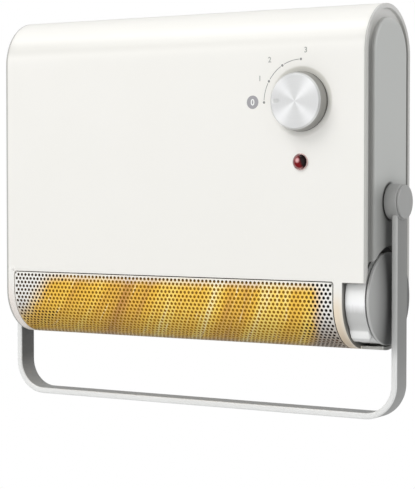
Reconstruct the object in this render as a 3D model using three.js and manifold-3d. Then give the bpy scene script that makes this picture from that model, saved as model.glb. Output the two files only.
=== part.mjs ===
// Bathroom wall fan heater with a swinging towel rail.
// Millimetres. X runs along the heater, +Y points into the wall (the wall plane is y = 0),
// +Z is up, and z = 0 is the mid-height of the casing.
import * as THREE from 'three';
import { mergeVertices } from 'three/addons/utils/BufferGeometryUtils.js';
import Module from 'manifold-3d';

// ---------- Driving dimensions ----------

// Casing: a stadium profile carried along X
const casingWidth = 440;
const casingHeight = 346.4;
const casingDepth = 100;
const casingWall = 3;
const splitDepth = 30;            // distance of the front and rear halves' seam from the wall
const halfRoundSteps = 10;        // facets of each half round
const seat = 0.3;                 // clearance between pieces that touch
const runningGap = 0.5;           // clearance round what turns

// Side covers
const coverRimStand = 2;          // rim proud of the white shell's end
const coverRimWidth = 4.7;
const coverPlate = 2;
const coverGrooveDepth = 0.8;     // groove floor below the shell's end
const panelStand = 5;             // raised panel proud of the shell's end
const panelInset = 14;
const panelBevel = 3;
const coverSpigot = 6;            // how far the cover reaches into the shell

// Outlet window with its perforated sheet
const outletRise = 18.1;          // window's top above the drum's axis
const outletInset = 9.5;          // window's left end inside the casing's end
const outletRib = 11.1;           // rib between the window and the notch
const outletWrap = 100;           // degrees round the bottom, counted from the front
const outletCorner = 2.5;
const sheetThickness = 0.8;
const sheetLedge = 3;
const sheetGap = 0.5;             // dark line round the sheet
const sheetSag = 0.6;             // room for the flat facets between the sheet's bends
const holeColumns = 18;
const holeRows = 6;
const holeShare = 0.3;            // hole radius as a share of the row pitch

// Notch with the thumb drum at the right-hand end
const notchWidth = 23.4;
const notchRise = 17.3;           // notch's top above the drum's axis
const notchWrap = 78;
const bulkhead = 2.5;
const drumLift = 1.7;             // drum's axis above the lower half round's
const drumInset = 4.5;            // drum's skin below the casing's skin
const drumWall = 2.5;
const drumBoss = 5;
const drumEndGap = 1.2;           // drum's end inside the casing's end
const drumSteps = 24;
const tabTopAngle = 36;           // degrees below the front
const tabCrestAngle = 51;
const tabEndAngle = 60;
const tabInset = 0.6;
const tabCorner = 5;
const endDiscOverhang = 1.2;      // disc's rim beyond the drum
const endDiscStand = 7.5;         // crown of the dome above the casing's end
const discClearance = 1.5;
const guideShaftRadius = 4;
const vaneInner = 7;
const vaneInset = 12;             // vane's tip inside the casing's skin
const vaneThickness = 1.6;
const vaneAngle = 50;             // degrees below the front
const vaneCurl = 9;

// Towel rail: flat bar bent to a U
const railThickness = 6.4;
const railBarDepth = 24.4;
const armGap = 6.3;               // raised panel to the arm's inner face
const railBottom = -243;
const railBendRadius = 36;
const railEdge = 1.2;
const railBendSteps = 8;
const pivotHeight = -24.4;
const hubRadius = 18;
const hubLip = 1.2;               // hub beyond the arm's outer face, up to the cap's groove
const hubCapRadius = 17;
const hubCapThickness = 2.2;
const pinRadius = 6;
const pinNeckRadius = 4;
const pinBoss = 12;
const pinNutLength = 5;
const pinNutRadius = 10;
const pinWasher = 0.8;
const armEndRise = 10;            // arm's end above the pivot axis

// Dial
const dialInset = 70.4;           // dial's axis inside the casing's end
const dialDrop = 47.9;            // dial's axis below the upper half round's
const dishRadius = 36;
const dishFloorRadius = 30;
const dishDepth = 1.2;
const knobBaseRadius = 29;
const knobFaceRadius = 27.4;
const knobHeight = 13;            // face above the shell's front
const knobChamfer = 1;
const knobSkirt = 2.5;            // wall of the knob's hollow
const knobHollow = 6;
const pointerLength = 7;
const pointerWidth = 3;
const pointerRadius = 22;
const pointerDepth = 0.6;
const spindleRadius = 3;
const spindleReach = 10;          // spindle in front of the shell
const switchBody = 30;
const switchLength = 20;
const switchBushRadius = 5;
const switchBushReach = 3;
const switchNutRadius = 8;
const switchNutLength = 2;

// Indicator lamp
const lampInset = 70.5;
const lampDrop = 60;              // lamp below the dial
const bezelRadius = 8.4;
const bezelStand = 1.4;
const bezelTube = 6.6;
const bezelLength = 12;
const lensRadius = 7.2;
const lensStem = 5.6;
const lensCrown = 2.4;
const bulbRadius = 2.6;
const bulbLength = 12;

// Crossflow fan
const fanForward = 2;             // fan's axis in front of the drum's axis plane
const fanLift = 89.5;             // fan's axis above the drum's
const fanRadius = 28;
const fanLeftInset = 36;
const fanRightInset = 98;         // room for the motor at the right-hand end
const bladeCount = 14;
const bladeDepth = 9;
const bladeThickness = 1.2;
const fanDiscThickness = 2;
const fanDiscs = 3;
const fanHubRadius = 7;
const fanShaftRadius = 3;
const plateThickness = 2;
const plateGap = 4;               // fan's ends to the end plates
const bushRadius = 7;
const bushLength = 7;

// Motor
const statorSide = 46;
const statorStack = 18;
const statorBore = 13;
const rotorRadius = 12.2;
const rotorLength = 17;
const motorGap = 11;              // motor plate to stator
const coilLength = 26;
const coilSide = 20;
const bracketThickness = 2.5;
const motorScrewRadius = 2;
const motorScrewOffset = 18;

// Duct and heater
const scrollGap = 4;
const scrollGrowth = 10;          // how much further the scroll stands off at its outlet
const scrollStart = 62;           // degrees above the rear
const ductSheet = 1.2;
const ductLift = 47.5;            // duct's floor above the drum's axis
const chuteGap = 4;               // chute clear of the vane's tip
const chuteTop = 175;             // degrees from the front, round the drum's axis
const chuteEnd = 130;
const ductToHeater = 3;
const heaterHeight = 17;
const heaterLeftInset = 60;
const heaterRightInset = 94;
const heaterMargin = 24;          // heater to the wall and to the front
const heaterBoard = 3;
const ribbonFolds = 18;
const ribbonThickness = 0.8;
const ribbonDepth = 12;
const cutoutInset = 50;           // cut-out from the heater's left end
const cutoutRadius = 7;
const cutoutHeight = 6;

// Rear
const bracketWidth = 280;
const bracketHeight = 38;
const bracketDrop = 38.2;         // wall bracket's middle below the upper half round's axis
const bracketSheet = 1.5;
const pocketDepth = 7;
const pocketMargin = 6;
const hookWidth = 24;
const hookRise = 7;
const hookSpread = 100;
const wallScrewSlot = 5;
const intakeSlots = 9;
const intakePitch = 42;
const intakeWidth = 26;
const intakeFrom = 32;            // degrees behind the crown
const intakeTo = 68;
const grommetInset = 44;
const grommetLift = 61.5;
const grommetRadius = 9;
const cableRadius = 4;
const bumperInset = 40;
const bumperLift = 21.5;
const bumperRadius = 9;
const bumperSocket = 2;
const terminalLift = 40;          // terminals above the cable's inlet
const screwPostInset = 16;
const upperPostDrop = 5.2;
const lowerPostLift = 63.5;
const screwPostRadius = 5;
const screwRadius = 2;
const screwHeadRadius = 4;
const screwHead = 2.5;

// ---------- Sizes that follow ----------

const endX = casingWidth / 2;
const roundRadius = casingDepth / 2;
const axisY = -roundRadius;                       // axis plane of the half rounds, pivots and drum
const archZ = casingHeight / 2 - roundRadius;
const seamY = -splitDepth;
const ledgeInset = sheetThickness + seat + sheetSag;
const radians = Math.PI / 180;
const far = 600;
const railInnerHalf = endX + panelStand + armGap;
const hubOuter = railInnerHalf + railThickness + hubLip;
const drumHeight = drumLift - archZ;
const outletTop = drumHeight + outletRise;
const outletLeft = outletInset - endX;
const notchLeft = endX - notchWidth;
const outletRight = notchLeft - outletRib;
const notchTop = drumHeight + notchRise;
const dialX = endX - dialInset;
const dialZ = archZ - dialDrop;
const lampX = endX - lampInset;
const lampZ = dialZ - lampDrop;
const drumRadius = roundRadius - drumInset;
const tabRadius = roundRadius - tabInset;
const endDiscRadius = drumRadius + endDiscOverhang;
const discOpening = endDiscRadius + discClearance;
const drumEnd = endX - drumEndGap;
const vaneOuter = roundRadius - vaneInset;
const fanY = axisY - fanForward;
const fanZ = drumHeight + fanLift;
const fanLeft = fanLeftInset - endX;
const fanRight = endX - fanRightInset;
const ductFloor = drumHeight + ductLift;
const heaterTop = ductFloor - ductToHeater;
const heaterLeft = heaterLeftInset - endX;
const heaterRight = endX - heaterRightInset;
const heaterRear = -heaterMargin;
const heaterFront = heaterMargin - casingDepth;
const bracketMid = archZ - bracketDrop;
const grommetX = endX - grommetInset;
const grommetZ = drumHeight + grommetLift;
const bumperX = endX - bumperInset;
const bumperZ = drumHeight + bumperLift;
const terminalX = grommetX;
const terminalZ = grommetZ + terminalLift;
const screwPostX = endX - screwPostInset;
const screwPostZ = archZ - upperPostDrop;
const lowerPostZ = drumHeight + lowerPostLift;

// ---------- Solids ----------

const wasm = await Module();
wasm.setup();

function facesOut(geometry) {
  const place = geometry.attributes.position;
  const index = geometry.index.array;
  const a = new THREE.Vector3();
  const b = new THREE.Vector3();
  const c = new THREE.Vector3();
  let volume = 0;
  for (let i = 0; i < index.length; i += 3) {
    a.fromBufferAttribute(place, index[i]);
    b.fromBufferAttribute(place, index[i + 1]);
    c.fromBufferAttribute(place, index[i + 2]);
    volume += a.dot(b.cross(c));
  }
  return volume > 0;
}

function solid(geometry) {
  const bare = geometry.clone();
  bare.deleteAttribute('normal');
  bare.deleteAttribute('uv');
  const merged = mergeVertices(bare, 1e-4);
  const index = Array.from(merged.index.array);
  if (!facesOut(merged)) {
    for (let i = 0; i < index.length; i += 3) {
      [index[i + 1], index[i + 2]] = [index[i + 2], index[i + 1]];
    }
  }
  return new wasm.Manifold(new wasm.Mesh({
    numProp: 3,
    vertProperties: new Float32Array(merged.attributes.position.array),
    triVerts: new Uint32Array(index),
  }));
}

function join(first, ...others) {
  return others.reduce((sum, other) => sum.add(other), first);
}

function cut(first, ...others) {
  return others.reduce((rest, other) => rest.subtract(other), first);
}

// A shape drawn in (y, z), carried from x0 to x1.
function alongX(shape, x0, x1) {
  const geometry = new THREE.ExtrudeGeometry(shape, { depth: x1 - x0, bevelEnabled: false });
  geometry.applyMatrix4(new THREE.Matrix4().set(0, 0, 1, x0, 1, 0, 0, 0, 0, 1, 0, 0, 0, 0, 0, 1));
  return solid(geometry);
}

// A shape drawn in (x, z), carried from y0 to y1.
function alongY(shape, y0, y1, bevel = 0) {
  const geometry = new THREE.ExtrudeGeometry(shape, {
    depth: y1 - y0 - 2 * bevel, bevelEnabled: bevel > 0,
    bevelThickness: bevel, bevelSize: bevel, bevelOffset: -bevel, bevelSegments: 1,
  });
  const start = y1 - bevel;
  geometry.applyMatrix4(new THREE.Matrix4().set(1, 0, 0, 0, 0, 0, -1, start, 0, 1, 0, 0, 0, 0, 0, 1));
  return solid(geometry);
}

// A shape drawn in (x, y), carried from z0 to z1.
function alongZ(shape, z0, z1) {
  const geometry = new THREE.ExtrudeGeometry(shape, { depth: z1 - z0, bevelEnabled: false });
  return solid(geometry.translate(0, 0, z0));
}

// A profile of [x, radius] points turned about the line through (y, z) that runs along X.
function turnedX(profile, y, z, steps = 12) {
  const points = profile.map(([x, radius]) => new THREE.Vector2(radius, x));
  const geometry = new THREE.LatheGeometry(points, steps);
  geometry.applyMatrix4(new THREE.Matrix4().set(0, 1, 0, 0, 1, 0, 0, y, 0, 0, -1, z, 0, 0, 0, 1));
  return solid(geometry);
}

// A profile of [y, radius] points turned about the line through (x, z) that runs along Y.
function turnedY(profile, x, z, steps = 12) {
  const points = profile.map(([y, radius]) => new THREE.Vector2(radius, y));
  return solid(new THREE.LatheGeometry(points, steps).translate(x, 0, z));
}

function rodX(radius, x0, x1, y, z, steps = 12) {
  return turnedX([[x0, 0], [x0, radius], [x1, radius], [x1, 0]], y, z, steps);
}

function rodY(radius, y0, y1, x, z, steps = 12) {
  return turnedY([[y0, 0], [y0, radius], [y1, radius], [y1, 0]], x, z, steps);
}

function ringX(outer, inner, x0, x1, y, z, steps = 12) {
  return turnedX([[x0, inner], [x0, outer], [x1, outer], [x1, inner], [x0, inner]], y, z, steps);
}

function block(x0, x1, y0, y1, z0, z1) {
  const box = new THREE.BoxGeometry(x1 - x0, y1 - y0, z1 - z0);
  return solid(box.translate((x0 + x1) / 2, (y0 + y1) / 2, (z0 + z1) / 2));
}

function polygon(points) {
  return new THREE.Shape(points.map(([u, v]) => new THREE.Vector2(u, v)));
}

function polar(y, z, radius, degrees) {
  return [y - radius * Math.cos(degrees * radians), z - radius * Math.sin(degrees * radians)];
}

// Casing profile in (y, z), set in by a margin all round.
function stadium(inset) {
  const radius = roundRadius - inset;
  const points = [];
  for (let i = 0; i <= halfRoundSteps; i += 1) {
    points.push(polar(axisY, -archZ, radius, i * 180 / halfRoundSteps));
  }
  for (let i = 0; i <= halfRoundSteps; i += 1) {
    points.push(polar(axisY, archZ, radius, 180 + i * 180 / halfRoundSteps));
  }
  return polygon(points);
}

// Everything in (y, z) between a front edge at a height and a ray round the bottom.
function mouthSector(topZ, wrap) {
  const reach = 2 * roundRadius;
  return polygon([
    [axisY - reach, topZ], [axisY, topZ], [axisY, -archZ],
    polar(axisY, -archZ, reach, wrap), [axisY - reach, -archZ - reach],
  ]);
}

const group = new THREE.Group();

function place(name, body, colour, roughness, metalness) {
  const mesh = body.getMesh();
  const geometry = new THREE.BufferGeometry();
  geometry.setAttribute('position', new THREE.BufferAttribute(new Float32Array(mesh.vertProperties), 3));
  geometry.setIndex(new THREE.BufferAttribute(new Uint32Array(mesh.triVerts), 1));
  geometry.computeVertexNormals();
  const material = new THREE.MeshStandardMaterial({ color: colour, roughness, metalness, flatShading: true });
  const part = new THREE.Mesh(geometry, material);
  part.name = name;
  group.add(part);
}

const white = '#f3f2ee';
const coverGrey = '#b3b4b1';
const railGrey = '#a5a6a3';
const darkGrey = '#6f6f6d';
const silver = '#c9c9c7';
const black = '#2b2b2b';
const steel = '#b9bcc0';
const copper = '#a5622f';
const brass = '#c2a14e';
const mica = '#c8a36a';

// ---------- Casing ----------

function frontShell() {
  const length = endX - seat;
  const trough = cut(
    alongX(stadium(0), -length, length),
    alongX(stadium(casingWall), -far, far),
    block(-far, far, seamY, far, -far, far),
  );
  const skin = cut(
    alongX(mouthSector(outletTop + sheetGap, outletWrap), outletLeft - sheetGap, outletRight + sheetGap),
    alongX(stadium(ledgeInset), -far, far),
  );
  const opening = alongX(
    mouthSector(outletTop - sheetLedge, outletWrap - sheetLedge),
    outletLeft + sheetLedge, outletRight - sheetLedge,
  );
  const drumMouth = alongX(mouthSector(notchTop, notchWrap), notchLeft, far);
  const dish = turnedY([
    [-casingDepth - 1, 0], [-casingDepth - 1, dishRadius], [-casingDepth, dishRadius],
    [-casingDepth + dishDepth, dishFloorRadius], [-casingDepth + dishDepth, 0],
  ], dialX, dialZ, 32);
  const rib = alongX(stadium(casingWall - seat), notchLeft - bulkhead, notchLeft)
    .intersect(block(-far, far, -far, seamY, -far, drumHeight + drumRadius));
  const bushHole = rodY(switchBushRadius + seat, -far, 0, dialX, dialZ);
  const lampHole = rodY(bezelTube + seat, -far, 0, lampX, lampZ);
  const shaftHole = rodX(guideShaftRadius + runningGap, notchLeft - 10, notchLeft + 10, axisY, drumHeight, 12);
  const shell = cut(trough, skin, opening, drumMouth, dish);
  const posts = screwPlaces().map(([x, z]) => cut(
    rodY(screwPostRadius, -casingDepth + casingWall - 1, seamY - seat, x, z, 8),
    rodY(screwRadius + seat, -casingDepth + casingWall + 10, 0, x, z, 8),
  ));
  return cut(join(shell, rib, ...posts), bushHole, lampHole, shaftHole);
}

function screwPlaces() {
  return [[-screwPostX, screwPostZ], [screwPostX, screwPostZ],
    [-screwPostX, lowerPostZ], [screwPostX, lowerPostZ]];
}

function rearHousing() {
  const length = endX - seat;
  const trough = cut(
    alongX(stadium(0), -length, length),
    alongX(stadium(casingWall), -far, far),
    block(-far, far, -far, seamY + seat, -far, far),
  );
  const half = bracketWidth / 2 + pocketMargin;
  const low = bracketMid - bracketHeight / 2 - pocketMargin;
  const high = bracketMid + bracketHeight / 2 + pocketMargin;
  const pocketWall = block(-half - casingWall, half + casingWall, -pocketDepth - casingWall, -0.5,
    low - casingWall, high + casingWall);
  const pocket = block(-half, half, -pocketDepth, 1, low, high);
  const hookSlots = [-hookSpread, hookSpread].map((x) => block(
    x - hookWidth / 2 - 2, x + hookWidth / 2 + 2, -far, 0,
    hookShelf() - bracketSheet - hookRise - 1, hookShelf() + seat,
  ));
  const slots = [];
  for (let i = 0; i < intakeSlots; i += 1) {
    const x = (i - (intakeSlots - 1) / 2) * intakePitch;
    slots.push(alongX(slotSector(), x - intakeWidth / 2, x + intakeWidth / 2));
  }
  const sleeves = screwPlaces().map(([x, z]) => rodY(screwPostRadius, seamY + seat, -0.5, x, z, 8));
  const screwWays = screwPlaces().flatMap(([x, z]) => [
    rodY(screwRadius + seat, -far, 1, x, z, 8),
    rodY(screwHeadRadius + seat, -screwHead - 3, 1, x, z, 8),
  ]);
  const cableWay = rodY(grommetRadius - 1.5, -far, 1, grommetX, grommetZ, 14);
  const bumperWays = [-bumperX, bumperX].flatMap((x) => [
    rodY(3, -far, 1, x, bumperZ, 8),
    rodY(bumperRadius + seat, -bumperSocket, 1, x, bumperZ, 12),
  ]);
  const body = cut(join(trough, pocketWall, ...sleeves), pocket, ...hookSlots, ...slots);
  return cut(body, ...screwWays, cableWay, ...bumperWays);
}

// Top of the hooks' level part, on which the casing hangs.
function hookShelf() {
  return bracketMid + bracketHeight / 2 - hookRise;
}

// Intake slot through the rear of the top half round.
function slotSector() {
  const reach = roundRadius + 5;
  const inner = roundRadius - casingWall - 3;
  return polygon([
    polar(axisY, archZ, inner, 270 - intakeFrom), polar(axisY, archZ, reach, 270 - intakeFrom),
    polar(axisY, archZ, reach, 270 - intakeTo), polar(axisY, archZ, inner, 270 - intakeTo),
  ]);
}

// Right-hand side cover; side = 1 keeps the drum's opening, side = -1 is the closed mirror.
function sideCover(side) {
  const rim = cut(
    alongX(stadium(0), endX, endX + coverRimStand),
    alongX(stadium(coverRimWidth), -far, far),
  );
  const spigot = cut(
    alongX(stadium(casingWall + seat), endX - coverSpigot, endX + coverRimStand),
    alongX(stadium(casingWall + seat + coverPlate), -far, far),
  );
  const floor = endX - coverGrooveDepth;
  const plate = alongX(stadium(casingWall + seat), floor - coverPlate, floor);
  const panel = raisedPanel(endX + panelStand, panelInset);
  const hollow = alongX(stadium(panelInset + coverPlate + panelBevel), 0, endX + panelStand - coverPlate);
  const boss = rodX(pinBoss, endX - coverSpigot, endX + panelStand - 1, axisY, pivotHeight);
  const pinHole = rodX(pinRadius + runningGap, 0, far, axisY, pivotHeight);
  const dished = cut(join(rim, spigot, plate, panel), hollow);
  let cover = cut(join(dished, boss), pinHole);
  if (side > 0) {
    const well = rodX(discOpening, 0, far, axisY, drumHeight, drumSteps);
    const reach = 2 * casingDepth;
    const front = alongX(polygon([
      [-reach, notchTop], [axisY, notchTop], [axisY, -archZ],
      polar(axisY, -archZ, reach, notchWrap), [-reach, -reach - archZ],
    ]), 0, far);
    cover = cut(cover, well, front);
  }
  return side > 0 ? cover : cover.mirror([1, 0, 0]);
}

// Panel raised to a height, with a bevelled edge all round.
function raisedPanel(top, inset) {
  const bottom = endX - coverGrooveDepth - coverPlate - 1;
  const rise = panelBevel / 2;
  return join(
    alongX(stadium(inset), bottom, top - rise),
    alongX(stadium(inset + panelBevel / 2), bottom, top - rise / 3),
    alongX(stadium(inset + panelBevel), bottom, top),
  );
}

// Perforated sheet: cells with a six-sided hole, in staggered rows, bent round the bottom.
function outletGrille() {
  const flat = outletTop + archZ;
  const length = flat + roundRadius * outletWrap * radians;
  const rowPitch = length / holeRows;
  const columnPitch = (outletRight - outletLeft) / holeColumns;
  const hole = holeShare * rowPitch;
  const positions = [];
  const triangles = [];

  const point = (u, s, depth) => {
    const radius = roundRadius - depth;
    const turn = Math.max(0, s - flat) / roundRadius;
    const z = s < flat ? outletTop - s : -archZ - radius * Math.sin(turn);
    positions.push(outletLeft + u, axisY - radius * Math.cos(turn), z);
    return positions.length / 3 - 1;
  };
  const quad = (a, b, c, d) => triangles.push(a, b, c, a, c, d);

  for (let row = 0; row < holeRows; row += 1) {
    const s0 = row * rowPitch;
    const s1 = s0 + rowPitch;
    const shift = row % 2 ? 0.5 : 0;
    for (let column = 0; column < holeColumns - 2 * shift; column += 1) {
      const u0 = (column + shift) * columnPitch;
      const middle = u0 + columnPitch / 2;
      const cell = [
        [u0, s0], [middle, s0], [u0 + columnPitch, s0],
        [u0 + columnPitch, s1], [middle, s1], [u0, s1],
      ];
      const edge = [];
      for (let k = 0; k < 6; k += 1) {
        const angle = (-150 + 60 * k) * radians;
        edge.push([middle + hole * Math.cos(angle), (s0 + s1) / 2 + hole * Math.sin(angle)]);
      }
      const outerCell = cell.map(([u, s]) => point(u, s, 0));
      const innerCell = cell.map(([u, s]) => point(u, s, sheetThickness));
      const outerHole = edge.map(([u, s]) => point(u, s, 0));
      const innerHole = edge.map(([u, s]) => point(u, s, sheetThickness));
      for (let k = 0; k < 6; k += 1) {
        const next = (k + 1) % 6;
        quad(outerCell[k], outerHole[k], outerHole[next], outerCell[next]);
        quad(innerCell[next], innerHole[next], innerHole[k], innerCell[k]);
        quad(outerHole[next], outerHole[k], innerHole[k], innerHole[next]);
      }
    }
    if (shift) {
      const width = columnPitch / 2;
      for (const u of [0, (holeColumns - 0.5) * columnPitch]) {
        const outer = [[u, s0], [u + width, s0], [u + width, s1], [u, s1]].map(([x, s]) => point(x, s, 0));
        const inner = [[u, s0], [u + width, s0], [u + width, s1], [u, s1]]
          .map(([x, s]) => point(x, s, sheetThickness));
        quad(outer[0], outer[3], outer[2], outer[1]);
        quad(inner[1], inner[2], inner[3], inner[0]);
      }
    }
    for (const [u, flip] of [[0, false], [holeColumns * columnPitch, true]]) {
      const side = [point(u, s0, 0), point(u, s0, sheetThickness), point(u, s1, sheetThickness), point(u, s1, 0)];
      if (flip) side.reverse();
      quad(...side);
    }
  }
  for (const [s, flip] of [[0, true], [length, false]]) {
    for (let half = 0; half < 2 * holeColumns; half += 1) {
      const u0 = half * columnPitch / 2;
      const u1 = u0 + columnPitch / 2;
      const strip = [point(u0, s, 0), point(u0, s, sheetThickness), point(u1, s, sheetThickness), point(u1, s, 0)];
      if (flip) strip.reverse();
      quad(...strip);
    }
  }
  const geometry = new THREE.BufferGeometry();
  geometry.setAttribute('position', new THREE.BufferAttribute(new Float32Array(positions), 3));
  geometry.setIndex(triangles);
  return solid(geometry);
}

// ---------- Air guide: thumb drum, domed disc, shaft and vane ----------

function guideDrum() {
  const x0 = notchLeft + runningGap;
  const x1 = drumEnd;
  const cup = turnedX([
    [x0, guideShaftRadius + seat], [x0, drumRadius], [x1, drumRadius], [x1, drumRadius - drumWall],
    [x0 + drumWall, drumRadius - drumWall], [x0 + drumWall, guideShaftRadius + drumBoss],
    [x1, guideShaftRadius + drumBoss], [x1, guideShaftRadius + seat], [x0, guideShaftRadius + seat],
  ], axisY, drumHeight, drumSteps);
  const root = drumRadius - 0.5;
  const tab = polygon([
    polar(axisY, drumHeight, root, tabTopAngle), polar(axisY, drumHeight, tabRadius, tabCrestAngle),
    polar(axisY, drumHeight, tabRadius, tabEndAngle), polar(axisY, drumHeight, root, tabEndAngle + 5),
  ]);
  const low = polar(axisY, drumHeight, tabRadius, tabEndAngle)[1];
  const corners = [[x0, 1], [x1, -1]].map(([x, way]) => alongY(polygon([
    [x - way, low - tabCorner], [x - way, low + tabCorner], [x, low + tabCorner], [x + way * tabCorner, low],
    [x + way * tabCorner, low - tabCorner],
  ]), axisY - 2 * roundRadius, axisY - drumRadius * Math.cos(tabEndAngle * radians)));
  return join(cup, cut(alongX(tab, x0, x1), ...corners));
}

function drumEndDisc() {
  const x0 = drumEnd + seat;
  const rise = endDiscStand;
  const profile = [[x0, 0], [x0, drumRadius], [x0 + 0.8, endDiscRadius], [endX + 2, endDiscRadius]];
  const steps = 4;
  for (let i = 1; i <= steps; i += 1) {
    const share = i / steps;
    const radius = (endDiscRadius - 1) * Math.cos(share * Math.PI / 2);
    profile.push([endX + 2.6 + (rise - 2.6) * Math.sin(share * Math.PI / 2), Math.max(radius, 0)]);
  }
  return turnedX(profile, axisY, drumHeight, drumSteps);
}

function guideShaft() {
  return rodX(guideShaftRadius, outletLeft + 10, drumEnd, axisY, drumHeight, 12);
}

// Curved vane beside the shaft, with two eyes that grip it.
function guideVane() {
  const front = [];
  const back = [];
  const steps = 3;
  for (let i = 0; i <= steps; i += 1) {
    const radius = vaneInner + (vaneOuter - vaneInner) * i / steps;
    const angle = vaneAngle - vaneCurl * (i / steps) ** 2;
    const half = vaneThickness / 2 / radius / radians;
    front.push(polar(axisY, drumHeight, radius, angle - half));
    back.unshift(polar(axisY, drumHeight, radius, angle + half));
  }
  const left = outletLeft + 12;
  const right = notchLeft - bulkhead - 4;
  const blade = alongX(polygon([...front, ...back]), left, right);
  const eyes = [left, (left + right) / 2, right - 8].map((x) => (
    ringX(vaneInner + 0.8, guideShaftRadius + seat, x, x + 8, axisY, drumHeight, 12)
  ));
  return join(blade, ...eyes);
}

// ---------- Towel rail ----------

function railOutline(inset) {
  const outerHalf = railInnerHalf + railThickness;
  const top = pivotHeight + armEndRise;
  const half = outerHalf - inset;
  const bottom = railBottom + inset;
  const bend = railBendRadius - inset;
  const points = [[half, top]];
  for (let i = 0; i <= railBendSteps; i += 1) {
    const angle = i * 90 / railBendSteps * radians;
    points.push([half - bend + bend * Math.cos(angle), bottom + bend - bend * Math.sin(angle)]);
  }
  return points;
}

function towelRail() {
  const outer = railOutline(0);
  const inner = railOutline(railThickness);
  const flip = (points) => points.map(([x, z]) => [-x, z]);
  const loop = [...outer, ...flip(outer).reverse(), ...flip(inner), ...[...inner].reverse()];
  const half = railBarDepth / 2;
  const bar = alongY(polygon(loop), axisY - half, axisY + half, railEdge);
  const pinHole = rodX(pinNeckRadius + seat, -far, far, axisY, pivotHeight, 16);
  return cut(bar, pinHole);
}

// The pieces of one pivot are made for the right-hand side and mirrored for the left.
function sided(body, side) {
  return side > 0 ? body : body.mirror([1, 0, 0]);
}

function pivotHub(side) {
  const x0 = endX + panelStand + seat;
  const body = turnedX([
    [x0, 0], [x0, hubRadius], [hubOuter - 1, hubRadius], [hubOuter, hubRadius - 1], [hubOuter, 0],
  ], axisY, pivotHeight, 20);
  const half = railBarDepth / 2 + seat;
  const slot = block(
    railInnerHalf - seat, railInnerHalf + railThickness + seat, axisY - half, axisY + half,
    pivotHeight - 2 * hubRadius, pivotHeight + armEndRise + seat,
  );
  const bore = rodX(pinRadius + seat, 0, railInnerHalf, axisY, pivotHeight);
  const neck = rodX(pinNeckRadius + seat, 0, far, axisY, pivotHeight, 16);
  return sided(cut(body, slot, bore, neck), side);
}

function hubCap(side) {
  const x0 = hubOuter + seat;
  const x1 = x0 + hubCapThickness;
  return sided(turnedX([
    [x0, 0], [x0, hubCapRadius - 0.6], [x0 + 0.6, hubCapRadius], [x1 - 0.7, hubCapRadius],
    [x1, hubCapRadius - 1.2], [x1 + 0.3, 0],
  ], axisY, pivotHeight, 20), side);
}

function pivotPin(side) {
  const inner = endX - coverSpigot - seat - pinWasher - seat - pinNutLength;
  return sided(turnedX([
    [inner, 0], [inner, pinRadius], [railInnerHalf - seat, pinRadius],
    [railInnerHalf - seat, pinNeckRadius], [hubOuter, pinNeckRadius], [hubOuter, 0],
  ], axisY, pivotHeight), side);
}

function pivotWasher(side) {
  const x1 = endX - coverSpigot - seat;
  return sided(ringX(pinBoss, pinRadius + seat, x1 - pinWasher, x1, axisY, pivotHeight), side);
}

function pivotNut(side) {
  const x1 = endX - coverSpigot - seat - pinWasher - seat;
  return sided(cut(
    rodX(pinNutRadius, x1 - pinNutLength, x1, axisY, pivotHeight, 6),
    rodX(pinRadius + seat, 0, far, axisY, pivotHeight),
  ), side);
}

// ---------- Dial and lamp ----------

const knobFace = -casingDepth - knobHeight;
const knobBase = -casingDepth + dishDepth - runningGap - seat;
const bushEnd = -casingDepth + dishDepth - switchBushReach;

function controlKnob() {
  const roof = knobBase - knobHollow;
  const grip = turnedY([
    [knobBase, 0], [knobBase, knobBaseRadius], [knobFace + knobChamfer, knobFaceRadius],
    [knobFace, knobFaceRadius - knobChamfer], [knobFace, 0],
  ], dialX, dialZ, 30);
  const hollow = rodY(knobFaceRadius - knobSkirt, roof, 0, dialX, dialZ, 18);
  const socket = rodY(spindleRadius + 3, roof - 1, knobBase - switchNutLength - 1.5, dialX, dialZ, 16);
  const bore = rodY(spindleRadius + seat, bushEnd - spindleReach - seat, 0, dialX, dialZ, 16);
  const slot = new THREE.Shape();
  const x0 = dialX - pointerRadius;
  slot.absarc(x0 + pointerWidth / 2, dialZ, pointerWidth / 2, Math.PI / 2, 3 * Math.PI / 2);
  slot.absarc(x0 + pointerLength - pointerWidth / 2, dialZ, pointerWidth / 2, -Math.PI / 2, Math.PI / 2);
  const pointer = alongY(polygon(slot.getPoints(6).map((p) => [p.x, p.y])), knobFace - 1, knobFace + pointerDepth);
  return cut(join(cut(grip, hollow), socket), bore, pointer);
}

function switchSpindle() {
  return rodY(spindleRadius, bushEnd - spindleReach, switchBack() - switchLength / 2, dialX, dialZ, 16);
}

function switchBack() {
  return -casingDepth + casingWall + seat + switchLength;
}

function rotarySwitch() {
  const half = switchBody / 2;
  const back = switchBack();
  const body = block(dialX - half, dialX + half, back - switchLength, back, dialZ - half, dialZ + half);
  const bush = rodY(switchBushRadius, bushEnd, back - switchLength + 1, dialX, dialZ, 20);
  const tags = [-9, -3, 3, 9].map((x) => block(
    dialX + x - 1.6, dialX + x + 1.6, back - 1, back + 7, dialZ - half + 4, dialZ - half + 5,
  ));
  const way = rodY(spindleRadius + seat, -far, back - switchLength / 2 + seat, dialX, dialZ, 16);
  return cut(join(body, bush, ...tags), way);
}

function switchNut() {
  const y1 = -casingDepth + dishDepth - seat;
  return cut(
    rodY(switchNutRadius, y1 - switchNutLength, y1, dialX, dialZ, 6),
    rodY(switchBushRadius + seat, -far, 0, dialX, dialZ, 20),
  );
}

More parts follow.
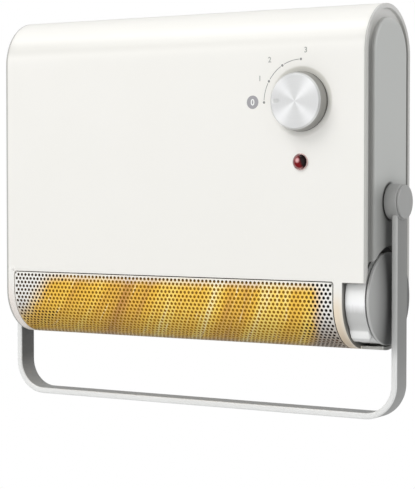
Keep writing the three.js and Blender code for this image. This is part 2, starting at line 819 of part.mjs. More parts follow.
function indicatorBezel() {
  const face = -casingDepth - bezelStand;
  const rear = -casingDepth - seat;
  return turnedY([
    [rear, bezelTube - 0.3], [rear + bezelLength, bezelTube - 0.3], [rear + bezelLength, lensStem + seat],
    [face + 0.6, lensStem + seat], [face + 0.6, lensRadius + seat], [face, lensRadius + seat],
    [face, bezelRadius - 0.4], [face + 0.4, bezelRadius], [rear, bezelRadius], [rear, bezelTube - 0.3],
  ], lampX, lampZ, 14);
}

function indicatorLens() {
  const seatY = -casingDepth - bezelStand + 0.6 - seat;
  const profile = [[seatY + 3, 0], [seatY + 3, lensStem], [seatY, lensStem], [seatY, lensRadius]];
  const steps = 3;
  for (let i = 1; i <= steps; i += 1) {
    const turn = i / steps * Math.PI / 2;
    profile.push([seatY - 0.6 - (lensCrown - 0.6) * Math.sin(turn), Math.max(0, lensRadius * Math.cos(turn))]);
  }
  return turnedY(profile, lampX, lampZ, 28);
}

// Glow lamp behind the lens, in a collar that fits the bezel's tube.
function indicatorLamp() {
  const y0 = -casingDepth - bezelStand + 0.6 + 3;
  const collar = y0 + 3;
  return turnedY([
    [y0, 0], [y0 + 1.2, bulbRadius], [collar, bulbRadius], [collar, lensStem], [collar + 3, lensStem],
    [collar + 3, bulbRadius], [y0 + bulbLength, bulbRadius], [y0 + bulbLength, 0],
  ], lampX, lampZ, 12);
}

// ---------- Crossflow fan and motor ----------

// Wheel with forward-curved blades between discs.
function fanImpeller() {
  const blade = [];
  const outer = fanRadius - 0.5;
  const inner = fanRadius - bladeDepth;
  const bow = bladeDepth * 0.45;
  const steps = 2;
  for (let i = 0; i <= steps; i += 1) {
    const share = i / steps;
    blade.push([inner + (outer - inner) * share, bow * share * share]);
  }
  for (let i = steps; i >= 0; i -= 1) {
    const share = i / steps;
    blade.push([inner + (outer - inner) * share, bow * share * share + bladeThickness]);
  }
  const pitch = (fanRight - fanLeft - fanDiscThickness) / (fanDiscs - 1);
  const discs = [];
  for (let i = 0; i < fanDiscs; i += 1) {
    const x = fanLeft + i * pitch;
    const bore = i === 0 || i === fanDiscs - 1 ? fanShaftRadius + seat : fanRadius - bladeDepth - 1;
    discs.push(ringX(fanRadius, bore, x, x + fanDiscThickness, fanY, fanZ, bladeCount));
  }
  const hubs = [
    ringX(fanHubRadius, fanShaftRadius + seat, fanLeft, fanLeft + 12, fanY, fanZ, 10),
    ringX(fanHubRadius, fanShaftRadius + seat, fanRight - 12, fanRight, fanY, fanZ, 10),
  ];
  const blades = [];
  for (let i = 0; i < bladeCount; i += 1) {
    const turn = (i + 0.5) * 360 / bladeCount * radians;
    const outline = blade.map(([r, t]) => [
      fanY + r * Math.cos(turn) - t * Math.sin(turn), fanZ + r * Math.sin(turn) + t * Math.cos(turn),
    ]);
    blades.push(alongX(polygon(outline), fanLeft + 0.5, fanRight - 0.5));
  }
  return join(...blades, ...discs, ...hubs);
}

const plateX = fanRight + plateGap;
const statorX = plateX + plateThickness + motorGap;
const stubEnd = fanLeft - plateGap - plateThickness - bushLength;

function stubShaft() {
  return rodX(fanShaftRadius, stubEnd, fanLeft + 14, fanY, fanZ, 10);
}

function motorShaft() {
  return rodX(fanShaftRadius, fanRight - 14, statorX + statorStack + 14, fanY, fanZ, 10);
}

function motorRotor() {
  const middle = statorX + statorStack / 2;
  return ringX(rotorRadius, fanShaftRadius + seat, middle - rotorLength / 2, middle + rotorLength / 2,
    fanY, fanZ, 14);
}

// End plate of the fan chamber, with a foot against the rear housing.
function fanPlate(x0, x1) {
  const front = fanY - fanRadius - 8;
  const rear = -casingWall - seat;
  const low = ductFloor;
  const high = fanZ + fanRadius + 10;
  const sheet = block(x0, x1, front, rear, low, high);
  const foot = block(x0, x1 + 8, rear - 1.5, rear, low + 6, high - 6);
  return join(sheet, foot);
}

function leftFanPlate() {
  const x1 = fanLeft - plateGap;
  return cut(fanPlate(x1 - plateThickness, x1), rodX(bushRadius + seat, -far, far, fanY, fanZ, 14));
}

function motorPlate() {
  const holes = motorScrewPlaces().map(([y, z]) => rodX(motorScrewRadius + seat, 0, far, y, z, 8));
  return cut(fanPlate(plateX, plateX + plateThickness), rodX(bushRadius + 2, 0, far, fanY, fanZ, 14), ...holes);
}

function motorScrewPlaces() {
  return [[fanY - motorScrewOffset, fanZ + motorScrewOffset], [fanY + motorScrewOffset, fanZ - motorScrewOffset]];
}

function bearingBush() {
  const x1 = fanLeft - plateGap;
  return turnedX([
    [x1 - plateThickness - bushLength, fanShaftRadius + seat], [x1 - plateThickness - bushLength, bushRadius],
    [x1, bushRadius], [x1, bushRadius + 0.2], [x1 + 0.4, bushRadius + 1.5], [x1 + 1.4, bushRadius + 1.5],
    [x1 + 1.4, fanShaftRadius + seat], [x1 - plateThickness - bushLength, fanShaftRadius + seat],
  ].map(([x, r]) => [x + (x > x1 ? seat : 0), r]), fanY, fanZ, 14);
}

function motorStator() {
  const half = statorSide / 2;
  const x1 = statorX + statorStack;
  const stack = block(statorX, x1, fanY - half, fanY + half, fanZ - half, fanZ + half);
  const leg = block(statorX, x1, fanY - 6, fanY + 6, fanZ + half - 1, fanZ + half + 20);
  const yoke = [-1, 1].map((way) => block(
    statorX, x1, way > 0 ? fanY + half - 9 : fanY - half, way > 0 ? fanY + half : fanY - half + 9,
    fanZ + half - 1, fanZ + half + 29,
  ));
  const top = block(statorX, x1, fanY - half, fanY + half, fanZ + half + 20, fanZ + half + 29);
  const holes = motorScrewPlaces().map(([y, z]) => rodX(motorScrewRadius + seat, 0, far, y, z, 8));
  return cut(join(stack, leg, ...yoke, top), rodX(statorBore, 0, far, fanY, fanZ, 16), ...holes);
}

function motorCoil() {
  const middle = statorX + statorStack / 2;
  const low = fanZ + statorSide / 2 + seat;
  const half = coilSide / 2;
  const wound = block(middle - coilLength / 2, middle + coilLength / 2, fanY - half, fanY + half, low, low + 19.2 - seat);
  const core = block(statorX - seat, statorX + statorStack + seat, fanY - 6 - seat, fanY + 6 + seat, 0 - far, far);
  return cut(wound, core);
}

function motorBracket(x0, x1) {
  const wide = 8;
  const bar = motorScrewPlaces().map(([y, z]) => [y, z]);
  const [first, second] = bar;
  const along = new THREE.Vector2(second[0] - first[0], second[1] - first[1]).normalize();
  const across = new THREE.Vector2(-along.y, along.x).multiplyScalar(wide);
  const end = along.clone().multiplyScalar(5);
  const strap = alongX(polygon([
    [first[0] - end.x + across.x, first[1] - end.y + across.y], [first[0] - end.x - across.x, first[1] - end.y - across.y],
    [second[0] + end.x - across.x, second[1] + end.y - across.y], [second[0] + end.x + across.x, second[1] + end.y + across.y],
  ]), x0, x1);
  const holes = bar.map(([y, z]) => rodX(motorScrewRadius + seat, 0, far, y, z, 8));
  return cut(strap, rodX(fanShaftRadius + seat, 0, far, fanY, fanZ, 10), ...holes);
}

// Spacer collars between the motor plate and the stator are part of the front bracket.
function motorFrontBracket() {
  const x1 = statorX - seat;
  const collars = motorScrewPlaces().map(([y, z]) => (
    ringX(4.5, motorScrewRadius + seat, plateX + plateThickness + seat, x1 - 1, y, z, 8)
  ));
  return join(motorBracket(x1 - bracketThickness, x1), ...collars);
}

function motorRearBracket() {
  const x0 = statorX + statorStack + seat;
  return join(
    motorBracket(x0, x0 + bracketThickness),
    ringX(6, fanShaftRadius + seat, x0 + 0.5, x0 + 6, fanY, fanZ, 10),
  );
}

function motorScrew(index) {
  const [y, z] = motorScrewPlaces()[index];
  const headX = statorX + statorStack + seat + bracketThickness + seat;
  return turnedX([
    [plateX - 2, 0], [plateX - 2, motorScrewRadius], [headX, motorScrewRadius],
    [headX, 3.6], [headX + 2.4, 3], [headX + 2.4, 0],
  ], y, z, 8);
}

// ---------- Duct and heater ----------

function scrollRadius(degrees) {
  const share = (scrollStart - degrees) / (scrollStart + 90);
  return fanRadius + scrollGap + scrollGrowth * share;
}

// Curved sheet behind the fan that opens downwards and guides the air to the outlet.
function fanScroll() {
  const inner = [];
  const outer = [];
  const steps = 10;
  for (let i = 0; i <= steps; i += 1) {
    const degrees = scrollStart - (scrollStart + 25) * i / steps;
    const radius = scrollRadius(degrees);
    const cos = Math.cos(degrees * radians);
    const sin = Math.sin(degrees * radians);
    inner.push([fanY + radius * cos, fanZ + radius * sin]);
    outer.push([fanY + (radius + ductSheet) * cos, fanZ + (radius + ductSheet) * sin]);
  }
  const [y, z] = inner[steps];
  const low = ductFloor;
  const sheet = polygon([...inner, [y, low], [y + ductSheet * 1.1, low], ...outer.reverse()]);
  const left = fanLeft - plateGap + seat;
  const right = plateX - seat;
  const body = alongX(sheet, left, right);
  const ribs = [left + 10, (left + right) / 2, right - 12].map((x) => block(
    x, x + 2, fanY + fanRadius + scrollGap + 4, -casingWall - seat, fanZ - 12, fanZ + 12,
  ));
  return join(body, ...ribs);
}

// Tongue in front of the wheel, which parts the outlet from the intake.
function fanTongue() {
  const gap = fanRadius + 2.5;
  const nose = [fanY - gap, fanZ - 4];
  const back = [nose[0] - 6, nose[1] + 3];
  const sheet = polygon([
    nose, [nose[0] - 2, nose[1] + 2], back, [back[0] - 1, back[1]], [back[0] - 1, ductFloor],
    [back[0] + 0.4, ductFloor], [back[0] + 0.4, back[1] - 2], [nose[0] - 1.4, nose[1] - 1],
  ]);
  return alongX(sheet, fanLeft - plateGap + seat, plateX - seat);
}

function heaterFrame() {
  const top = heaterTop;
  const low = heaterTop - heaterHeight;
  const outer = block(heaterLeft, heaterRight, heaterFront, heaterRear, low, top);
  const inner = block(heaterLeft + heaterBoard, heaterRight - heaterBoard,
    heaterFront + heaterBoard, heaterRear - heaterBoard, low - 1, top + 1);
  const third = (heaterRight - heaterLeft) / 3;
  const bars = [1, 2].map((i) => block(
    heaterLeft + i * third - 1, heaterLeft + i * third + 1, heaterFront, heaterRear, low, low + 3,
  ));
  const mid = (heaterFront + heaterRear) / 2;
  const rail = block(heaterLeft, heaterRight, mid - 1, mid + 1, low, low + 3);
  return join(cut(outer, inner), ...bars, rail);
}

// Corrugated resistance strip, folded to and fro along the frame.
function heaterRibbon(front) {
  const mid = (heaterFront + heaterRear) / 2;
  const y0 = front ? heaterFront + heaterBoard + 1 : mid + 1.5;
  const y1 = front ? mid - 1.5 : heaterRear - heaterBoard - 1;
  const left = heaterLeft + heaterBoard + seat;
  const right = heaterRight - heaterBoard - seat;
  const fold = (right - left) / (2 * ribbonFolds);
  const lift = ribbonThickness * Math.hypot(1, (y1 - y0) / fold);
  const path = [];
  for (let i = 0; i <= 2 * ribbonFolds; i += 1) {
    path.push([left + fold * i, i % 2 ? y1 - lift : y0]);
  }
  const back = path.map(([x, y]) => [x, y + lift]).reverse();
  const z0 = heaterTop - heaterHeight + 3 + seat;
  return alongZ(polygon([...path, ...back]), z0, z0 + ribbonDepth);
}

function thermalCutout() {
  const x = heaterLeft + cutoutInset;
  const y = heaterFront - seat;
  const z = heaterTop - heaterHeight / 2;
  return join(
    rodY(cutoutRadius, y - cutoutHeight, y, x, z, 16),
    block(x - cutoutRadius - 6, x + cutoutRadius + 6, y - 1.4, y, z - 3, z + 3),
  );
}

// Side strips that carry the heater frame from the rear housing, and the outlet's rear wall.
function outletChute() {
  const rear = -casingWall - seat;
  const low = heaterTop - heaterHeight;
  const shelf = block(heaterLeft - 6, heaterRight + 6, heaterRear + seat, rear, low - 3, low - 1);
  const lip = block(heaterLeft - 6, heaterRight + 6, heaterRear - 3, heaterRear + 2, low - 3, low - seat);
  const wall = polygon([
    [heaterRear + 1, low - 2], [heaterRear + 1 + ductSheet, low - 2],
    ...arcPoints(vaneOuter + chuteGap + ductSheet, chuteTop, chuteEnd),
    ...arcPoints(vaneOuter + chuteGap, chuteEnd, chuteTop),
  ]);
  const body = alongX(wall, heaterLeft - 6, heaterRight + 6);
  return join(shelf, lip, body);
}

function arcPoints(radius, from, to) {
  const points = [];
  const steps = 5;
  for (let i = 0; i <= steps; i += 1) {
    points.push(polar(axisY, drumHeight, radius, from + (to - from) * i / steps));
  }
  return points;
}

// ---------- Rear and fixings ----------

function wallBracket() {
  const half = bracketWidth / 2;
  const low = bracketMid - bracketHeight / 2;
  const high = bracketMid + bracketHeight / 2;
  const hookBack = -pocketDepth - casingWall - seat;
  const sheet = block(-half, half, -bracketSheet, 0, low, high);
  const hooks = [-hookSpread, hookSpread].map((x) => join(
    block(x - hookWidth / 2, x + hookWidth / 2, hookBack - bracketSheet, -bracketSheet + 0.2,
      hookShelf() - bracketSheet, hookShelf()),
    block(x - hookWidth / 2, x + hookWidth / 2, hookBack - bracketSheet, hookBack,
      hookShelf() - bracketSheet, hookShelf() + hookRise - 1),
  ));
  const slots = [-60, 60].map((x) => join(
    rodY(wallScrewSlot / 2, -far, far, x - 4, bracketMid, 12),
    rodY(wallScrewSlot / 2, -far, far, x + 4, bracketMid, 12),
    block(x - 4, x + 4, -far, far, bracketMid - wallScrewSlot / 2, bracketMid + wallScrewSlot / 2),
  ));
  const flanges = block(-half, half, -5, -bracketSheet + 0.2, low, low + bracketSheet);
  return cut(join(sheet, ...hooks, flanges), ...slots);
}

function wallBumper(side) {
  const profile = [
    [-casingWall - 2.2, 0], [-casingWall - 2.2, 2.4], [-casingWall - seat - 1.2, 3.8],
    [-casingWall - seat, 3.8], [-casingWall - seat, 2.4],
    [-bumperSocket + seat, 2.4], [-bumperSocket + seat, bumperRadius - 0.6],
    [-0.4, bumperRadius - 0.6], [0, bumperRadius - 1.2], [0, 0],
  ];
  return turnedY(profile, side * bumperX, bumperZ, 12);
}

function cableGrommet() {
  const hole = grommetRadius - 1.5;
  return turnedY([
    [-casingWall - 3, cableRadius], [-casingWall - 3, hole + 1.5], [-casingWall - seat, hole + 1.5],
    [-casingWall - seat, hole - seat], [-0.4, hole - seat], [-0.4, cableRadius], [-casingWall - 3, cableRadius],
  ], grommetX, grommetZ, 14);
}

function terminalBlock() {
  const rear = -casingWall - seat;
  const body = block(terminalX - 18, terminalX + 18, rear - 16, rear, terminalZ - 8, terminalZ + 8);
  const wells = [-12, 0, 12].map((x) => rodY(3, rear - 17, rear - 8, terminalX + x, terminalZ, 12));
  const mouths = [-12, 0, 12].map((x) => block(
    terminalX + x - 2.5, terminalX + x + 2.5, rear - 7.5, rear - 3, terminalZ - 9, terminalZ + 9,
  ));
  return cut(body, ...wells, ...mouths);
}

function cableClamp() {
  const rear = -casingWall - seat;
  const z = grommetZ + 18;
  const bar = block(grommetX - 14, grommetX + 14, rear - 8, rear, z - 5, z + 5);
  return cut(bar, block(grommetX - cableRadius - 1, grommetX + cableRadius + 1, rear - 4, 1, z - far, z + far));
}

function caseScrew(x, z) {
  const head = -screwHead - 3 - seat + screwHead;
  return turnedY([
    [-casingDepth + casingWall + 11, 0], [-casingDepth + casingWall + 16, screwRadius],
    [head - screwHead + seat, screwRadius], [head - screwHead + seat, screwHeadRadius],
    [head, screwHeadRadius - 0.6], [head, 1], [head - 1, 0.6], [head - 1, 0],
  ], x, z, 8);
}

// ---------- Assembly ----------

place('front_shell', frontShell(), white, 0.35, 0);
place('rear_housing', rearHousing(), white, 0.5, 0);
place('right_side_cover', sideCover(1), coverGrey, 0.45, 0);
place('left_side_cover', sideCover(-1), coverGrey, 0.45, 0);
place('outlet_grille', outletGrille(), silver, 0.35, 0.8);

place('guide_drum', guideDrum(), silver, 0.3, 0.6);
place('drum_end_disc', drumEndDisc(), darkGrey, 0.4, 0);
place('guide_shaft', guideShaft(), steel, 0.3, 0.9);
place('guide_vane', guideVane(), silver, 0.4, 0.7);

place('towel_rail', towelRail(), railGrey, 0.4, 0.3);
for (const [word, side] of [['right', 1], ['left', -1]]) {
  place(`${word}_pivot_hub`, pivotHub(side), railGrey, 0.4, 0.2);
  place(`${word}_hub_cap`, hubCap(side), railGrey, 0.4, 0.2);
  place(`${word}_pivot_pin`, pivotPin(side), steel, 0.3, 0.9);
  place(`${word}_pivot_washer`, pivotWasher(side), steel, 0.3, 0.9);
  place(`${word}_pivot_nut`, pivotNut(side), steel, 0.3, 0.9);
}

place('control_knob', controlKnob(), '#d8d8d6', 0.25, 0.9);
place('switch_spindle', switchSpindle(), steel, 0.3, 0.9);
place('rotary_switch', rotarySwitch(), black, 0.5, 0);
place('switch_nut', switchNut(), brass, 0.3, 0.8);
place('indicator_bezel', indicatorBezel(), '#8d7f7c', 0.3, 0.4);
place('indicator_lens', indicatorLens(), '#7c0f10', 0.1, 0);
place('indicator_lamp', indicatorLamp(), '#e8a060', 0.2, 0);

place('fan_impeller', fanImpeller(), steel, 0.4, 0.7);
place('stub_shaft', stubShaft(), steel, 0.3, 0.9);
place('motor_shaft', motorShaft(), steel, 0.3, 0.9);
place('motor_rotor', motorRotor(), steel, 0.4, 0.8);
place('left_fan_plate', leftFanPlate(), steel, 0.4, 0.8);
place('motor_plate', motorPlate(), steel, 0.4, 0.8);
place('bearing_bush', bearingBush(), brass, 0.4, 0.8);
place('motor_stator', motorStator(), '#6c6f75', 0.5, 0.7);
place('motor_coil', motorCoil(), copper, 0.5, 0.5);
place('motor_front_bracket', motorFrontBracket(), steel, 0.4, 0.8);
place('motor_rear_bracket', motorRearBracket(), steel, 0.4, 0.8);
place('motor_screw_1', motorScrew(0), steel, 0.3, 0.9);
place('motor_screw_2', motorScrew(1), steel, 0.3, 0.9);

place('fan_scroll', fanScroll(), steel, 0.4, 0.8);
place('fan_tongue', fanTongue(), steel, 0.4, 0.8);
place('outlet_chute', outletChute(), steel, 0.4, 0.8);
place('heater_frame', heaterFrame(), mica, 0.7, 0);
place('front_heating_ribbon', heaterRibbon(true), '#8a6a50', 0.6, 0.5);
place('rear_heating_ribbon', heaterRibbon(false), '#8a6a50', 0.6, 0.5);
place('thermal_cutout', thermalCutout(), black, 0.5, 0);

place('wall_bracket', wallBracket(), steel, 0.4, 0.8);
place('right_wall_bumper', wallBumper(1), black, 0.8, 0);
place('left_wall_bumper', wallBumper(-1), black, 0.8, 0);
place('cable_grommet', cableGrommet(), black, 0.8, 0);
place('cable_clamp', cableClamp(), white, 0.6, 0);
place('terminal_block', terminalBlock(), white, 0.6, 0);
screwPlaces().forEach(([x, z], i) => place(`case_screw_${i + 1}`, caseScrew(x, z), steel, 0.3, 0.9));

export default group;
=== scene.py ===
# %% [markdown]
# # Bathroom wall fan heater
# The heater is a white moulded case with grey side covers, a perforated outlet that follows the
# rounded bottom, a rotary dial, and a flat bar bent to a U that swings on two pivots as a towel rail.
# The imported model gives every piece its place. This script dresses it: smooth surfaces replace the
# faceted solids that show, and each finish is made from shader nodes.

# %% Load the frame
import math

import bmesh
import bpy
import numpy as np
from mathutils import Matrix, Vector


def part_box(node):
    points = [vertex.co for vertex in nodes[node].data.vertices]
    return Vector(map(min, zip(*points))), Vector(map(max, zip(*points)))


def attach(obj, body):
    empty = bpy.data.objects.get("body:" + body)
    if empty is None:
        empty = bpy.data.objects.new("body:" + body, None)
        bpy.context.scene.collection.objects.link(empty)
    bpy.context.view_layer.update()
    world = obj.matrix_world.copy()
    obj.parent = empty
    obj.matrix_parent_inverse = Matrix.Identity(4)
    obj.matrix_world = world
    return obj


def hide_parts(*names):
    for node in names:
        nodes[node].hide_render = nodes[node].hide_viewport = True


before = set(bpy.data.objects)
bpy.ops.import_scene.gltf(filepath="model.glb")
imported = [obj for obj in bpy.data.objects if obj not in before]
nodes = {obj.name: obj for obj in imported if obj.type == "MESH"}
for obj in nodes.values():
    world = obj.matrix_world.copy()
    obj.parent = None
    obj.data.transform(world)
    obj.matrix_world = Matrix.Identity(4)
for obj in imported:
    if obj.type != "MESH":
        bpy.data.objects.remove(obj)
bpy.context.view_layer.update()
MM = 0.001


def corners(node):
    """Lowest and highest corner of a node at rest, in millimetres."""
    low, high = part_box(node)
    return np.array(low) / MM, np.array(high) / MM


def add_object(name, data):
    """Links a new object, which stays at the origin unless it is moved."""
    made = bpy.data.objects.new(name, data)
    bpy.context.scene.collection.objects.link(made)
    return made


# %% [markdown]
# The camera stands to the right of the heater and a little above its outlet, so the right-hand cover
# shows. Its place was worked out from the casing's own corners, with the casing 440 mm wide. The
# long side of the picture takes the sensor's 36 mm.

# %% Camera
CAMERA_PLACE = (0.96290, -1.59228, -0.00336)
CAMERA_YAW = 31.719
CAMERA_PITCH = 2.149
FOCAL_PIXELS = 1702.76
PICTURE_LONG_SIDE = 489
SENSOR = 36.0


def make_camera():
    data = bpy.data.cameras.new("photo_camera")
    data.sensor_width = SENSOR
    data.lens = FOCAL_PIXELS * SENSOR / PICTURE_LONG_SIDE
    data.clip_start = 0.05
    camera = add_object("photo_camera", data)
    camera.location = CAMERA_PLACE
    camera.rotation_euler = (math.radians(90 - CAMERA_PITCH), 0, math.radians(CAMERA_YAW))
    bpy.context.scene.camera = camera
    return camera


camera = make_camera()
print("lens", round(camera.data.lens, 2), "mm")

# %% [markdown]
# Shader maths reads best as ordinary arithmetic. `Wire` wraps one output socket, and adding or
# multiplying wires adds Math nodes. `Finish` holds one material: `node` makes any node from its
# settings and its inputs, `mix` blends two colours by a mask, and `paint` lays more colours over a
# first one, each through its own mask. Colours are written as sRGB values such as "#f3f2ee".

# %% Shader helpers
GRAIN_DISTANCE = 0.00004


def colour(text):
    """Linear colour of a written sRGB value."""
    parts = [int(text[i:i + 2], 16) / 255 for i in (1, 3, 5)]
    return tuple(c / 12.92 if c <= 0.04045 else ((c + 0.055) / 1.055) ** 2.4 for c in parts) + (1.0,)


def arithmetic(operation, swapped=False):
    """An operator of Wire, which adds one Math node."""
    return lambda wire, other: wire.maths(operation, other, swapped)


class Wire:
    """One output socket of a material, with arithmetic."""

    __add__, __radd__ = arithmetic("ADD"), arithmetic("ADD", swapped=True)
    __sub__, __rsub__ = arithmetic("SUBTRACT"), arithmetic("SUBTRACT", swapped=True)
    __mul__, __truediv__, __pow__ = arithmetic("MULTIPLY"), arithmetic("DIVIDE"), arithmetic("POWER")

    def __init__(self, finish, socket):
        self.finish = finish
        self.socket = socket

    def __neg__(self):
        return 0 - self

    def maths(self, operation, other=0.0, swapped=False):
        """A Math node of this wire and, where the operation takes two, another value."""
        values = (other, self) if swapped else (self, other)
        return self.finish.node("ShaderNodeMath", {"operation": operation}, dict(enumerate(values)))

    def step(self, low, high):
        """Rises smoothly from 0 at low to 1 at high."""
        return self.finish.node(
            "ShaderNodeMapRange", {"interpolation_type": "SMOOTHSTEP"},
            {"Value": self, "From Min": low, "From Max": high},
        )

    def band(self, low, full, fall, end):
        """Rises from 0 at low to 1 at full, and falls back to 0 between fall and end."""
        return self.step(low, full) * (1 - self.step(fall, end))


class Finish:
    """A material built from nodes round one Principled shader."""

    def __init__(self, name, **constants):
        self.material = bpy.data.materials.new(name)
        self.material.use_nodes = True
        self.tree = self.material.node_tree
        self.shader = self.tree.nodes["Principled BSDF"]
        for socket, value in constants.items():
            self.set(socket, value)

    def feed(self, socket, value):
        if isinstance(value, Wire):
            self.tree.links.new(value.socket, socket)
        else:
            socket.default_value = colour(value) if isinstance(value, str) else value

    def set(self, socket, value):
        self.feed(self.shader.inputs[socket], value)

    def glow(self, shade, strength):
        """A small emission of its own."""
        self.set("Emission Color", shade)
        self.set("Emission Strength", strength)

    def node(self, kind, settings=None, inputs=None, output=0):
        made = self.tree.nodes.new(kind)
        for key, value in (settings or {}).items():
            setattr(made, key, value)
        for key, value in (inputs or {}).items():
            self.feed(made.inputs[key], value)
        return Wire(self, made.outputs[output])

    def place(self, scale=(1, 1, 1), location=(0, 0, 0)):
        """Object coordinates, moved and stretched by a Mapping node."""
        where = self.node("ShaderNodeTexCoord", output=3)
        return self.node("ShaderNodeMapping", {}, {"Vector": where, "Scale": scale, "Location": location})

    def axes(self, x=0, y=0, z=0):
        """The three Object coordinates in metres, counted from a point given in millimetres."""
        split = self.tree.nodes.new("ShaderNodeSeparateXYZ")
        self.feed(split.inputs[0], self.place(location=(-x * MM, -y * MM, -z * MM)))
        return [Wire(self, output) for output in split.outputs]

    def noise(self, where=(1, 1, 1), scale=1.0, detail=2.0, roughness=0.5):
        """A noise over a vector, or over Object coordinates stretched by a tuple."""
        vector = self.place(where) if isinstance(where, tuple) else where
        return self.node("ShaderNodeTexNoise", {}, {
            "Vector": vector, "Scale": scale, "Detail": detail, "Roughness": roughness,
        })

    def mix(self, mask, first, second):
        return self.node("ShaderNodeMix", {"data_type": "RGBA"}, {0: mask, 6: first, 7: second}, output=2)

    def paint(self, shade, *layers):
        """Lays colours over a shade, each as a pair of its mask and itself."""
        for mask, over in layers:
            shade = self.mix(mask, shade, over)
        return shade

    def base(self, shade, *layers):
        """Sets the base colour: a shade, with any layers painted over it."""
        self.set("Base Color", self.paint(shade, *layers))

    def drift(self, first, second):
        """Two near tones that pass slowly into each other."""
        return self.mix(self.noise(scale=9.0, detail=3.0), first, second)

    def ramp(self, level, *stops):
        """A Color Ramp with stops of (place, colour)."""
        made = self.tree.nodes.new("ShaderNodeValToRGB")
        elements = made.color_ramp.elements
        while len(elements) < len(stops):
            elements.new(0.5)
        for element, (place, shade) in zip(elements, stops):
            element.position = place
            element.color = colour(shade)
        self.feed(made.inputs["Fac"], level)
        return Wire(self, made.outputs[0])

    def bump(self, height, strength, distance=GRAIN_DISTANCE):
        inputs = {"Height": height, "Strength": strength, "Distance": distance}
        self.set("Normal", self.node("ShaderNodeBump", {}, inputs))

    def grain(self, scale=1600.0, strength=0.12):
        """The fine grain of a moulded or painted surface."""
        self.bump(self.noise(scale=scale), strength)


# %% [markdown]
# A moulded plastic case is never one flat colour: the tool leaves a very fine grain, and the tone
# drifts a little over the surface. `moulded` makes such a finish from two noises, and the metals
# below add brushed streaks or a spun pattern to the same idea.

# %% Plain finishes


def darker(shade, share):
    """A written colour with a share of its light taken away."""
    return tuple(c * (1 - share) for c in colour(shade)[:3]) + (1.0,)


def moulded(name, shade, roughness, drift=0.03, grain=1800.0, strength=0.12, **constants):
    """Moulded plastic: a slow drift of tone and a fine grain."""
    made = Finish(name, **constants)
    tone = made.noise(scale=9.0, detail=3.0)
    made.base(darker(shade, drift), (tone, shade))
    made.set("Roughness", (tone - 0.5) * 0.08 + roughness)
    made.grain(grain, strength)
    return made


def metal(name, shade, roughness, streak=(40, 900, 900)):
    """Brushed metal: noise stretched along one axis changes tone and roughness."""
    made = Finish(name, Metallic=1.0)
    lines = made.noise(streak, 1.0, 4.0, 0.6)
    made.base(darker(shade, 0.14), (lines, shade))
    made.set("Roughness", (lines - 0.5) * 0.2 + roughness)
    made.bump(lines, 0.1)
    return made


black_plastic = moulded("black_plastic", "#2b2b2b", 0.5)
white_plastic = moulded("white_plastic", "#e6e6e2", 0.5)
black_rubber = moulded("black_rubber", "#262626", 0.75, strength=0.4)
mica = moulded("mica", "#c8a36a", 0.7, drift=0.3, grain=300.0, strength=0.5)
lamp_glass = moulded("lamp_glass", "#e8a060", 0.15)
print(len(bpy.data.materials), "finishes so far")

# %% [markdown]
# The surfaces below are worked out as whole numpy arrays. A grid of points becomes quads, and a
# profile turned about an axis is a grid that closes on itself. Every function works in millimetres,
# and `build` turns the result into a mesh in metres whose object stays at the origin.

# %% Mesh helpers


def grid_quads(rows, columns, wrap=False):
    """Quads of a grid of points, closed in the second direction when wrap is set."""
    down, across = np.indices((rows - 1, columns if wrap else columns - 1))
    right = (across + 1) % columns
    quads = np.stack([down, down, down + 1, down + 1], -1) * columns
    quads += np.stack([across, right, right, across], -1)
    return quads.reshape(-1, 4)


def plain(name, pieces):
    """One object of (points, faces) pieces, welded and with its faces turned out."""
    points, faces, start = [], [], 0
    for piece_points, piece_faces in pieces:
        flat = np.asarray(piece_points, float).reshape(-1, 3)
        points.append(flat)
        faces.extend([[int(i) + start for i in face] for face in piece_faces])
        start += len(flat)
    mesh = bpy.data.meshes.new(name)
    mesh.from_pydata((np.concatenate(points) * MM).tolist(), [], faces)
    work = bmesh.new()
    work.from_mesh(mesh)
    bmesh.ops.remove_doubles(work, verts=work.verts, dist=2e-6)
    bmesh.ops.dissolve_degenerate(work, edges=work.edges, dist=1e-7)
    bmesh.ops.recalc_face_normals(work, faces=work.faces)
    work.to_mesh(mesh)
    work.free()
    return add_object(name, mesh)


def modify(made, kind, **settings):
    """Puts a modifier on an object and applies it to the mesh."""
    modifier = made.modifiers.new(kind.lower(), kind)
    for key, value in settings.items():
        setattr(modifier, key, value)
    graph = bpy.context.evaluated_depsgraph_get()
    done = bpy.data.meshes.new_from_object(made.evaluated_get(graph))
    made.modifiers.clear()
    made.data = done


def smooth_below(made, crease):
    """Shades an object smooth, apart from edges sharper than the crease in degrees."""
    made.data.shade_smooth()
    made.data.set_sharp_from_angle(angle=math.radians(crease))


def build(name, body, finish, pieces, crease=35, thickness=0.0, bevel=0.0):
    """Makes one object of pieces with its finish, and the body it rides on."""
    made = plain(name, pieces)
    made.data.materials.append(finish.material)
    if thickness:
        modify(made, "SOLIDIFY", thickness=thickness * MM, offset=-1, use_even_offset=True)
        modify(made, "BEVEL", width=bevel * MM, segments=3, limit_method="ANGLE",
               angle_limit=math.radians(50))
    smooth_below(made, crease)
    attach(made, body)
    return made


def carve(made, cutter):
    """Cuts one object with another, which is then removed."""
    modify(made, "BOOLEAN", operation="DIFFERENCE", solver="EXACT", object=cutter)
    bpy.data.objects.remove(cutter)
    smooth_below(made, 35)


def smooth(value, low, high):
    """Rises smoothly from 0 at low to 1 at high."""
    share = np.clip((value - low) / (high - low), 0, 1)
    return share ** 2 * (3 - 2 * share)


ON_AXIS = 0.02


def full_turn(steps):
    """Angles round a whole turn, without a repeat of the first."""
    return np.linspace(0, 2 * np.pi, steps, endpoint=False)


def polar(a, b, radius, turn):
    """Points of (a, b) at a radius and a turn about a centre."""
    return np.stack([a + radius * np.cos(turn), b + radius * np.sin(turn)], -1)


